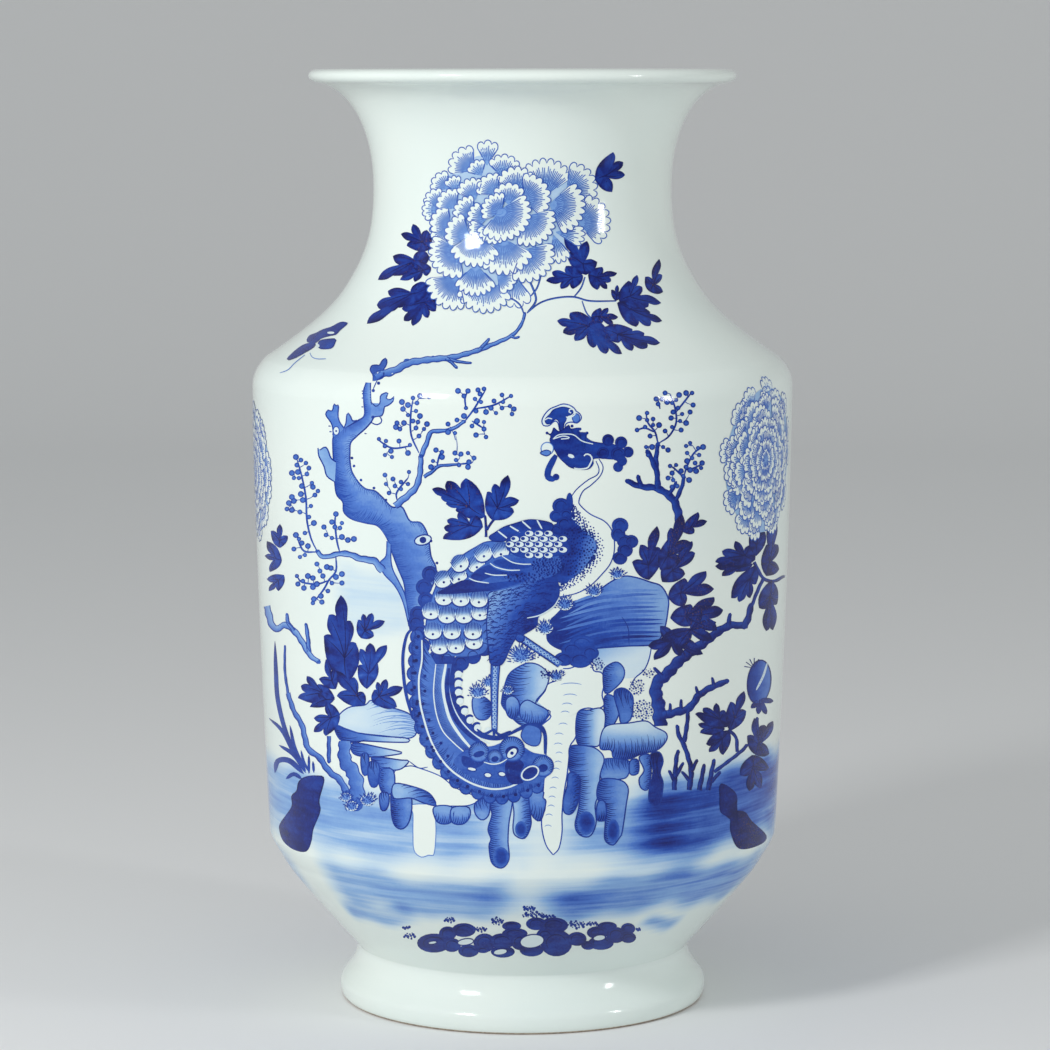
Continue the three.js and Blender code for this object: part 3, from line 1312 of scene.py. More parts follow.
def cobalt_group(shades: CobaltShades) -> bpy.types.NodeTree:
    """The group that turns cobalt strength into the colour seen through the glaze.

    Args:
        shades: The colours.

    Returns:
        A group with inputs Strength, Mottle and Rust, and outputs Color and Depth.
    """
    number = "NodeSocketFloat"
    group = socket_group(
        "Cobalt under glaze",
        [("Strength", number, 0.0), ("Mottle", number, 0.3), ("Rust", number, 0.3)],
        [("Color", "NodeSocketColor"), ("Depth", number)],
    )
    w = Wiring(group)
    source = next(n for n in group.nodes if n.bl_idname == "NodeGroupInput")
    sink = next(n for n in group.nodes if n.bl_idname == "NodeGroupOutput")
    place = w.node("ShaderNodeTexCoord").outputs["Object"]
    brush = w.noise(w.stretched(place, (70, 70, 260)), 1.0, 3, 0.6)
    heap = w.noise(place, 900, 2, 0.6)
    cloud = w.noise(place, 60, 2, 0.5)
    uneven = w.maths("ADD", w.maths("MULTIPLY", w.maths("SUBTRACT", brush, 0.5), 0.7),
                     w.maths("MULTIPLY", w.maths("SUBTRACT", cloud, 0.5), 0.5))
    uneven = w.maths("ADD", uneven, w.maths("MULTIPLY", w.maths("SUBTRACT", heap, 0.5), 0.35))
    strength = source.outputs["Strength"]
    change = w.maths("MULTIPLY", w.maths("MULTIPLY", uneven, source.outputs["Mottle"]), strength)
    depth = w.maths("ADD", strength, w.maths("MULTIPLY", change, 1.6), clamp=True)
    ramp = w.node("ShaderNodeValToRGB")
    ramp.color_ramp.elements[0].position = shades.steps[0][0]
    ramp.color_ramp.elements[0].color = (*shades.steps[0][1], 1)
    ramp.color_ramp.elements[1].position = shades.steps[-1][0]
    ramp.color_ramp.elements[1].color = (*shades.steps[-1][1], 1)
    for where, colour in shades.steps[1:-1]:
        ramp.color_ramp.elements.new(where).color = (*colour, 1)
    w.feed(ramp.inputs["Fac"], depth)
    tint = w.noise(place, 9, 2, 0.5)
    glaze = w.mixed(w.ramp(tint, 0.35, 0.7), (1.0, 1.0, 1.0, 1), (0.955, 0.975, 0.985, 1))
    toned = w.node("ShaderNodeMix", data_type="RGBA", blend_type="MULTIPLY")
    toned.inputs["Factor"].default_value = 1.0
    w.feed(toned.inputs["A"], ramp.outputs["Color"])
    w.feed(toned.inputs["B"], glaze)
    spots = w.ramp(w.noise(place, 1500, 1, 0.5), 0.60, 0.72)
    rusty = w.maths("MULTIPLY", spots, w.ramp(depth, 0.78, 0.95))
    rusty = w.maths("MULTIPLY", rusty, w.ramp(w.noise(place, 35, 1, 0.5), 0.48, 0.6))
    rusty = w.maths("MULTIPLY", rusty, source.outputs["Rust"])
    w.feed(sink.inputs["Color"], w.mixed(rusty, toned.outputs["Result"], (0.12, 0.055, 0.03, 1)))
    w.feed(sink.inputs["Depth"], depth)
    return group


@dataclass(frozen=True)
class GlazedPorcelain:
    """White porcelain under a clear, faintly blue glaze, with cobalt painted beneath it."""

    name: str
    mottle: float = 0.35
    rust: float = 0.0
    roughness: float = 0.08
    washed: bool = False
    biscuit: bool = False
    bare_height: float = 0.0007
    bare_colour: tuple = (0.50, 0.42, 0.33, 1)
    grit_colour: tuple = (0.30, 0.22, 0.16, 1)

    def material(self, cobalt: bpy.types.NodeTree) -> bpy.types.Material:
        """Builds the material.

        Args:
            cobalt: The group that colours the cobalt.

        Returns:
            A material that reads the piece's `cobalt` attribute.
        """
        made = bpy.data.materials.new(self.name)
        made.use_nodes = True
        w = Wiring(made.node_tree)
        shader = next(n for n in made.node_tree.nodes if n.bl_idname == "ShaderNodeBsdfPrincipled")
        strength = w.node("ShaderNodeAttribute", attribute_name="cobalt").outputs["Fac"]
        place = w.node("ShaderNodeTexCoord").outputs["Object"]
        if self.washed:
            broad = w.noise(w.stretched(place, (9, 9, 150)), 1.0, 3, 0.55)
            fine = w.noise(w.stretched(place, (22, 22, 620)), 1.0, 2, 0.6)
            streak = w.maths("ADD", w.ramp(broad, 0.3, 0.7, 0.68, 1.2), w.ramp(fine, 0.3, 0.7, -0.1, 0.1))
            strength = w.maths("MULTIPLY", strength, streak, clamp=True)
        paint = w.node("ShaderNodeGroup", node_tree=cobalt)
        w.feed(paint.inputs["Strength"], strength)
        paint.inputs["Mottle"].default_value = self.mottle
        paint.inputs["Rust"].default_value = self.rust
        colour = paint.outputs["Color"]
        peel = w.noise(place, 420, 2, 0.5)
        swell = w.noise(place, 16, 2, 0.5)
        height = w.maths("ADD", w.maths("MULTIPLY", peel, 0.10), swell)
        bump = w.node("ShaderNodeBump")
        bump.inputs["Strength"].default_value = 0.25
        bump.inputs["Distance"].default_value = 0.0006
        w.feed(bump.inputs["Height"], height)
        w.feed(shader.inputs["Normal"], bump.outputs["Normal"])
        rough = w.ramp(peel, 0.3, 0.7, self.roughness * 0.8, self.roughness * 1.3)
        if self.biscuit:
            split = w.node("ShaderNodeSeparateXYZ")
            w.feed(split.inputs[0], place)
            bare = w.ramp(split.outputs["Z"], self.bare_height, self.bare_height * 1.8, 1.0, 0.0)
            speck = w.ramp(w.noise(place, 700, 3, 0.6), 0.4, 0.7)
            colour = w.mixed(bare, colour, w.mixed(speck, self.bare_colour, self.grit_colour))
            rough = w.maths("MAXIMUM", rough, w.maths("MULTIPLY", bare, 0.85))
        w.feed(shader.inputs["Base Color"], colour)
        w.feed(shader.inputs["Roughness"], rough)
        shader.inputs["IOR"].default_value = 1.5
        shader.inputs["Specular IOR Level"].default_value = 0.3
        return made


# The turned sections


@dataclass
class TurnedSection:
    """One thrown section: a closed wall turned from its outline, with washes and painted shade on it."""

    node: str
    outside: Array
    inside: Array
    slot: str = "painted_porcelain"
    turns: int = 384
    crease_degrees: float = 48

    def row_normals(self, outline: Array, after: Array, surface: TurnedSurface) -> tuple[Array, Array]:
        """Normals at both ends of each stretch of the outline.

        A stretch's own normal is its direction turned a quarter to the right. Where two stretches
        meet at less than the crease angle they share their mean. On the outside, the vase's own
        line gives the normals, so that the glaze runs on over a seam.

        Args:
            outline: The stretches' first points.
            after: Their last points.
            surface: The vase's outside.

        Returns:
            Normals in the (radius, height) plane at the first and at the last points.
        """
        run = after - outline
        flat = np.column_stack([run[:, 1], -run[:, 0]])
        flat /= np.maximum(np.hypot(*flat.T), 1e-9)[:, None]
        before, following = np.roll(flat, 1, axis=0), np.roll(flat, -1, axis=0)
        crease = math.cos(math.radians(self.crease_degrees))
        soft_start = ((flat * before).sum(1) > crease)[:, None]
        soft_end = ((flat * following).sum(1) > crease)[:, None]
        first = np.where(soft_start, flat + before, flat)
        last = np.where(soft_end, flat + following, flat)
        outer = np.arange(len(outline)) < len(self.outside) - 1
        for ends, rows in ((first, outline), (last, after)):
            out = np.interp(rows[:, 1], surface.line[:, 1], surface.normal_out)
            up = np.interp(rows[:, 1], surface.line[:, 1], surface.normal_up)
            ends[outer] = np.column_stack([out, up])[outer]
            ends /= np.hypot(*ends.T)[:, None]
        return first, last

    def build(self, material: bpy.types.Material, surface: TurnedSurface, wash: object) -> bpy.types.Object:
        """Turns the outline round the axis.

        Args:
            material: What it is made of.
            surface: The vase's outside, for its normals.
            wash: A function of angle and height that gives the cobalt, and a painted shade, on the outside.

        Returns:
            The piece, standing for its node.
        """
        outline = np.vstack([self.outside, self.inside])
        closed = outline[0, 0] > 1e-6
        rows = len(outline)
        stretches = rows if closed else rows - 1
        angle = np.arange(self.turns) * (2 * math.pi / self.turns)
        radius, height = outline[:, :1], outline[:, 1:]
        upright = height * np.ones_like(angle)
        place = np.stack([radius * np.sin(angle), -radius * np.cos(angle), upright], axis=-1)
        painted = (np.arange(rows) < len(self.outside))[:, None]
        cobalt = painted * wash(angle[None] * np.ones_like(height), upright)
        low = np.arange(stretches)[:, None] * self.turns
        high = (np.arange(stretches)[:, None] + 1) % rows * self.turns
        here, there = np.arange(self.turns)[None], (np.arange(self.turns)[None] + 1) % self.turns
        faces = np.stack([low + here, low + there, high + there, high + here], axis=-1).reshape(-1, 4)
        after = np.roll(outline, -1, axis=0)[:stretches]
        first, last = self.row_normals(outline[:stretches], after, surface)
        around = np.stack([np.sin(angle), -np.cos(angle)], axis=-1)
        ends = []
        for normal, column in ((first, here), (first, there), (last, there), (last, here)):
            turned = around[column[0]][None] * normal[:, :1, None]
            upward = np.broadcast_to(normal[:, 1:, None], turned[..., :1].shape)
            ends.append(np.concatenate([turned, upward], axis=-1))
        corner_normals = np.stack(ends, axis=2).reshape(-1, 3)
        mesh = bpy.data.meshes.new(self.node + "_glazed")
        mesh.from_pydata((place.reshape(-1, 3) * MM).tolist(), [], faces.tolist())
        mesh.polygons.foreach_set("use_smooth", np.ones(len(faces), bool))
        strength = mesh.attributes.new("cobalt", "FLOAT", "POINT")
        strength.data.foreach_set("value", cobalt.ravel().astype(np.float32))
        along = np.concatenate([[0], np.cumsum(np.hypot(*np.diff(outline, axis=0).T))])
        along = np.append(along, along[-1] + np.hypot(*(outline[0] - outline[-1])))
        v_low, v_high = along[:stretches] / along[-1], along[1 : stretches + 1] / along[-1]
        u = np.stack([here[0], here[0] + 1, here[0] + 1, here[0]], axis=-1) / self.turns
        v = np.stack([v_low, v_low, v_high, v_high], axis=-1)
        chart = np.stack(np.broadcast_arrays(u[None], v[:, None]), axis=-1).reshape(-1)
        mesh.uv_layers.new(name="OFBake").data.foreach_set("uv", chart.astype(np.float32))
        mesh.normals_split_custom_set(corner_normals.tolist())
        mesh.materials.append(material)
        piece = bpy.data.objects.new(self.node + "_glazed", mesh)
        bpy.context.scene.collection.objects.link(piece)
        if not closed:
            close_poles(mesh)
        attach(piece, ROOT)
        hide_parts(self.node)
        LOG.info("%s: %d faces", piece.name, len(faces))
        return piece


def close_poles(mesh: bpy.types.Mesh) -> None:
    """Merges the points that a turned disc has on the axis.

    Args:
        mesh: The disc's mesh.
    """
    work = bmesh.new()
    work.from_mesh(mesh)
    poles = [v for v in work.verts if math.hypot(v.co.x, v.co.y) < 1e-7]
    bmesh.ops.remove_doubles(work, verts=poles, dist=1e-7)
    work.to_mesh(mesh)
    work.free()


@dataclass(frozen=True)
class Pool:
    """A wash laid straight on the porcelain, between two angles in degrees and two heights."""

    left: float
    right: float
    low: float
    high: float
    cobalt: float
    soft: float = 6.0

    def at(self, angle: Array, height: Array) -> Array:
        """Its cobalt: smooth steps in from every side; two sines waver its upper and lower edge.

        Args:
            angle: Angles in radians.
            height: Heights in millimetres.

        Returns:
            Strength of its cobalt.
        """
        degrees = np.degrees(angle)
        off = np.abs((degrees - (self.left + self.right) / 2 + 180) % 360 - 180)
        waver = 1.8 * np.sin(degrees * 0.13 + self.low) + 1.2 * np.sin(degrees * 0.37 + self.left)
        inside = smooth((self.right - self.left) / 2 - off, -self.soft / 2, self.soft / 2)
        rise = smooth(height - self.low - waver, -self.soft / 2, self.soft / 2)
        fall = smooth(self.high + waver - height, -self.soft / 2, self.soft / 2)
        return self.cobalt * inside * rise * fall


class Vase:
    """The turned vase: its six sections and the washes under its glaze, with a painted shade on the base."""

    pools_and_painted_shade = (
        Pool(-79, -10, 88, 120, 0.31, 14), Pool(-14, 3, 88, 118, 0.14, 12), Pool(9, 34, 88, 116, 0.32, 14),
        Pool(27, 104, 88, 124, 0.6, 14), Pool(104, 281, 88, 122, 0.36, 14), Pool(-41, -23, 194, 222, 0.11, 8),
        # Pool(-10, 14, 63, 78, 0.13) is painted shade, not cobalt: a faint grey-blue where the base's front
        # slope lies in shade.
        Pool(-50, -4, 61, 80, 0.34, 10), Pool(-52, -28, 52, 62, 0.30), Pool(-10, 14, 63, 78, 0.13, 12),
        Pool(7, 66, 60, 79, 0.5, 12), Pool(33, 46, 48, 54, 0.4),
        Pool(66, 160, 60, 79, 0.34, 12), Pool(160, 250, 58, 78, 0.4, 12), Pool(250, 292, 60, 78, 0.28, 12),
    )

    def __init__(self, form: VaseForm) -> None:
        """Works out the sections from the form.

        Args:
            form: The vase's sizes.
        """
        self.form = form
        self.surface = TurnedSurface(form)

    def sections(self) -> list[TurnedSection]:
        """The sections with their outer and inner lines, from the table up."""
        f = self.form
        foot_inner = f.foot_waist_radius - f.foot_wall
        base_inner = f.barrel_foot_radius - f.barrel_edge_inset - f.base_wall
        base_edge = (base_inner, f.base_seam - f.barrel_edge_drop - 2)
        floor = f.foot_seam + f.floor_thickness
        floor_bend = (f.foot_waist_radius - 4, floor + 4)
        shoulder_edge = (
            f.shoulder_radius - f.shoulder_edge_run - f.shoulder_wall,
            f.shoulder_seam + f.shoulder_edge_drop - f.shoulder_wall * 0.7,
        )
        throat = f.neck_seam + f.throat_height
        under = f.mouth_top - f.lip_thickness
        inner_lip = (f.lip_radius - 19, f.mouth_top - 6)
        inner_throat = (f.throat_radius - f.neck_wall, throat + 2)
        inner_root = (f.neck_root_radius - f.neck_wall, f.neck_seam)
        foot_inside = np.array([
            (foot_inner, f.foot_seam),
            (foot_inner + 1, f.foot_height * 0.3),
            (f.foot_contact_radius - 6.6, 0),
        ])
        base_inside = chain(
            [(f.barrel_foot_radius - f.barrel_wall, f.base_seam)],
            cubic(base_edge, (98, 54), (f.foot_waist_radius + 14, floor + 14), floor_bend, 14),
            cubic(floor_bend, (70, floor + 1), (62, floor), (50, floor), 6),
            [(25, floor), (0, floor)],
        )
        neck_inside = chain(
            cubic((f.lip_radius - 6, f.mouth_top), (f.lip_radius - 10, f.mouth_top),
                  (f.lip_radius - 14, f.mouth_top - 2), inner_lip, 8),
            cubic(inner_lip, (f.throat_radius + 4, under - 6), (inner_throat[0], throat + 26),
                  inner_throat, 20),
            cubic(inner_throat, (inner_throat[0], throat - 18), (inner_root[0] - 10, f.neck_seam + 14),
                  inner_root, 14),
        )
        shoulder_middle = f.shoulder_outside()[22] - f.shoulder_wall * 0.7
        wall = [f.barrel_wall, 0]
        barrel_low = f.barrel_outside(f.base_seam, f.middle_seam)
        barrel_high = f.barrel_outside(f.middle_seam, f.shoulder_seam)
        shoulder_inside = chain(
            [inner_root], [shoulder_middle], [shoulder_edge],
            [(f.shoulder_radius - f.barrel_wall, f.shoulder_seam)],
        )
        return [
            TurnedSection("foot_ring", f.foot_outside(), foot_inside, "foot_porcelain"),
            TurnedSection("lower_body", chain([(0, f.foot_seam)], f.base_outside()), base_inside),
            TurnedSection("barrel_lower", barrel_low, barrel_low[::-8] - wall),
            TurnedSection("barrel_upper", barrel_high, barrel_high[::-8] - wall),
            TurnedSection("shoulder", f.shoulder_outside(), shoulder_inside),
            TurnedSection("neck", f.neck_outside(), neck_inside[1:]),
        ]

    def wash(self, angle: Array, height: Array) -> Array:
        """Cobalt of the washes on the porcelain, with the painted shade on the base: the pools added up."""
        return np.clip(sum(pool.at(angle, height) for pool in self.pools_and_painted_shade), 0, 1)

    def build(self, porcelain: bpy.types.Material, foot: bpy.types.Material) -> None:
        """Makes every section.

        Args:
            porcelain: The painted porcelain.
            foot: The foot's plain porcelain.
        """
        for section in self.sections():
            plain = section.node == "foot_ring"
            section.build(foot if plain else porcelain, self.surface, self.wash)


# The painting on the neck


@dataclass(frozen=True)
class NeckPeony:
    """The large peony on the neck, in picture pixels: rows of root, edge, half spread and scallops."""

    petals: tuple = (
        ((512, 272), (520, 308), 26, 3), ((487, 166), (488, 140), 30, 3), ((474, 171), (453, 153), 48, 5),
        ((482, 176), (473, 161), 44, 4), ((503, 178), (505, 154), 50, 5), ((545, 196), (547, 158), 52, 8),
        ((566, 191), (595, 177), 56, 7), ((578, 223), (610, 216), 62, 8), ((555, 232), (585, 237), 24, 4),
        ((553, 234), (562, 263), 24, 4), ((449, 189), (434, 176), 46, 4), ((457, 192), (451, 176), 38, 4),
        ((441, 206), (429, 191), 44, 4), ((440, 210), (422, 211), 42, 4), ((447, 228), (433, 240), 48, 4),
        ((452, 226), (432, 215), 50, 5), ((456, 209), (442, 192), 48, 5), ((476, 200), (466, 179), 44, 5),
        ((497, 194), (482, 177), 50, 5), ((517, 194), (514, 166), 50, 6), ((549, 204), (585, 212), 54, 9),
        ((523, 199), (549, 188), 68, 8), ((475, 216), (456, 203), 52, 6), ((470, 236), (446, 226), 52, 6),
        ((459, 276), (437, 305), 48, 7), ((485, 278), (483, 314), 60, 9), ((497, 276), (515, 286), 50, 4),
        ((476, 264), (475, 297), 46, 8), ((459, 250), (433, 267), 66, 9), ((522, 250), (545, 276), 62, 9),
        ((503, 238), (507, 276), 56, 9), ((476, 234), (474, 268), 56, 9), ((525, 216), (547, 240), 60, 9),
        ((509, 205), (509, 182), 52, 5), ((488, 218), (467, 216), 54, 6), ((489, 228), (470, 236), 50, 6),
        ((496, 224), (486, 243), 50, 6), ((502, 213), (485, 199), 60, 7), ((500, 210), (522, 234), 82, 12),
    )
    ground: tuple = xy(
        484, 156, 518, 168, 550, 173, 576, 187, 592, 208, 588, 226, 572, 240, 556, 254, 534, 262, 512, 284,
        500, 290, 484, 306, 458, 300, 446, 282, 444, 262, 440, 240, 434, 214, 438, 194, 450, 174, 470, 160,
    )
    heart: tuple = (501, 211)

    def paint(self, painting: Painting) -> None:
        """Draws a pale ground, the petals from the outside in, and the swirl in the heart.

        Args:
            painting: Where it is drawn.
        """
        painting.patch(self.ground, 0.2, -2)
        for number, (root, tip, spread, scallops) in enumerate(self.petals):
            petal(painting, root, tip, spread, scallops, number * 2.0)
        turn = np.linspace(0, 4.6, 28)
        swirl = np.column_stack([np.cos(turn), 0.7 * np.sin(turn)]) * (1.2 + 2.4 * turn)[:, None]
        for way, start in ((1.0, 0.0), (-0.7, 0.3)):
            painting.line(np.asarray(self.heart) + way * swirl, 0.7, 0.5, len(self.petals) * 2 + start)


@dataclass(frozen=True)
class NeckSpray:
    """Stems and leaves round the neck's peony, in picture pixels.

    A stem's row holds its path and width, and a leaf's its base and its tips.
    """

    stems: tuple = (
        (xy(528, 312, 536, 300, 531, 284, 527, 278), 2.2), (xy(531, 296, 537, 288, 541, 276), 1.8),
        (xy(524, 314, 520, 305, 512, 299, 506, 299), 1.8),
        (xy(527, 313, 540, 303, 556, 298, 574, 297, 590, 301, 616, 301), 1.9),
        (xy(574, 297, 581, 288, 585, 277), 1.7),
        (xy(582, 301, 586, 312, 591, 318, 604, 330, 612, 336), 1.5),
    )
    leaves: tuple = (
        ((595, 180), xy(613, 152, 623, 162, 625, 175, 612, 192)),
        ((586, 275), xy(566, 254, 564, 237, 587, 241, 597, 262)),
        ((583, 276), xy(566, 266, 552, 272, 546, 281, 561, 289, 573, 289)),
        ((588, 275), xy(602, 267, 617, 273, 611, 281, 607, 289, 597, 290)),
        ((616, 301), xy(611, 290, 617, 285, 624, 291)),
        ((619, 301), xy(628, 281, 637, 275, 642, 287, 661, 303, 648, 307)),
        ((650, 292), xy(645, 277, 659, 259, 662, 275, 663, 292)),
        ((617, 303), xy(636, 327, 650, 326, 662, 321, 650, 312, 640, 303)),
        ((591, 317), xy(600, 308, 608, 308, 618, 317, 613, 325, 602, 323)),
        ((590, 318), xy(570, 313, 557, 321, 563, 333, 575, 341, 593, 348, 606, 354, 622, 354, 611, 340)),
        ((602, 329), xy(632, 329, 644, 333, 660, 343, 647, 348, 632, 351, 618, 343)),
        ((431, 249), xy(407, 246, 401, 234, 413, 224, 427, 230)),
        ((430, 258), xy(421, 250, 393, 256, 378, 280, 394, 276)),
        ((431, 267), xy(412, 262, 400, 280, 415, 282, 427, 276)),
        ((430, 287), xy(420, 282, 388, 291, 377, 305, 367, 324, 389, 312, 399, 308)),
        ((430, 292), xy(402, 309, 404, 321, 413, 326, 428, 318, 436, 311)),
    )

    def paint(self, painting: Painting) -> None:
        """Draws the stems, then the leaves.

        Args:
            painting: Where it is drawn.
        """
        for points, width in self.stems:
            painting.line(points, width, 0.8, 4, 0.3)
            painting.line(np.asarray(points) + (0, 0.5), width * 0.3, 0.5, 5, 0.3)
        for number, (base, tips) in enumerate(self.leaves):
            leaf(painting, base, tips, 14 + number % 3, 0.9)


@dataclass(frozen=True)
class Moth:
    """The moth that hovers beside the trunk, in picture pixels."""

    upper_wing: tuple = xy(
        348, 323, 341, 322, 331, 327, 324, 329, 316, 333, 309, 336, 307, 342, 316, 343, 321, 339, 331, 336,
        336, 335, 341, 330, 347, 325,
    )
    lower_wing: tuple = xy(320, 341, 335, 339, 335, 343, 332, 348, 325, 349, 319, 348)
    left_wing: tuple = xy(315, 343, 304, 345, 293, 353, 287, 360, 295, 358, 306, 352, 314, 347)
    feelers: tuple = (
        xy(305, 355, 295, 363, 288, 370, 280, 373), xy(310, 353, 312, 357, 317, 359, 326, 359),
    )

    def paint(self, painting: Painting) -> None:
        """Draws the wings, their white eyes and the feelers.

        Args:
            painting: Where it is drawn.
        """
        painting.patch(self.left_wing, 0.82, 20, 0.86, 0.9)
        painting.patch(self.lower_wing, 0.78, 21, 0.86, 0.9)
        painting.patch(self.upper_wing, 0.85, 22)
        painting.blobs([(318, 346), (331, 333)], [(1.7, 1.7), (3.6, 1.2)], 0.05, 24)
        for path in self.feelers:
            painting.line(path, 0.8, 0.45, 20, 0.3)


# The painting on the barrel


def wash(painting: Painting, one: Array, other: Array, near: float, far: float, level: float, ink: float,
         width: float, spacing: float) -> None:
    """A ruled wash, `near` along one edge and `far` along the other, with a line on both edges.

    Args:
        painting: Where it is drawn.
        one: Its first edge.
        other: Its second edge.
        near: Cobalt along the first.
        far: Cobalt along the second.
        level: Its order.
        ink: Cobalt of the lines.
        width: Width of the lines.
        spacing: Distance between its samples.
    """
    painting.between(one, other, lambda along, across: near + (far - near) * across, level, spacing)
    painting.line(one, width, ink, level + 0.6, 0.2)
    painting.line(other, width, ink, level + 0.6, 0.2)


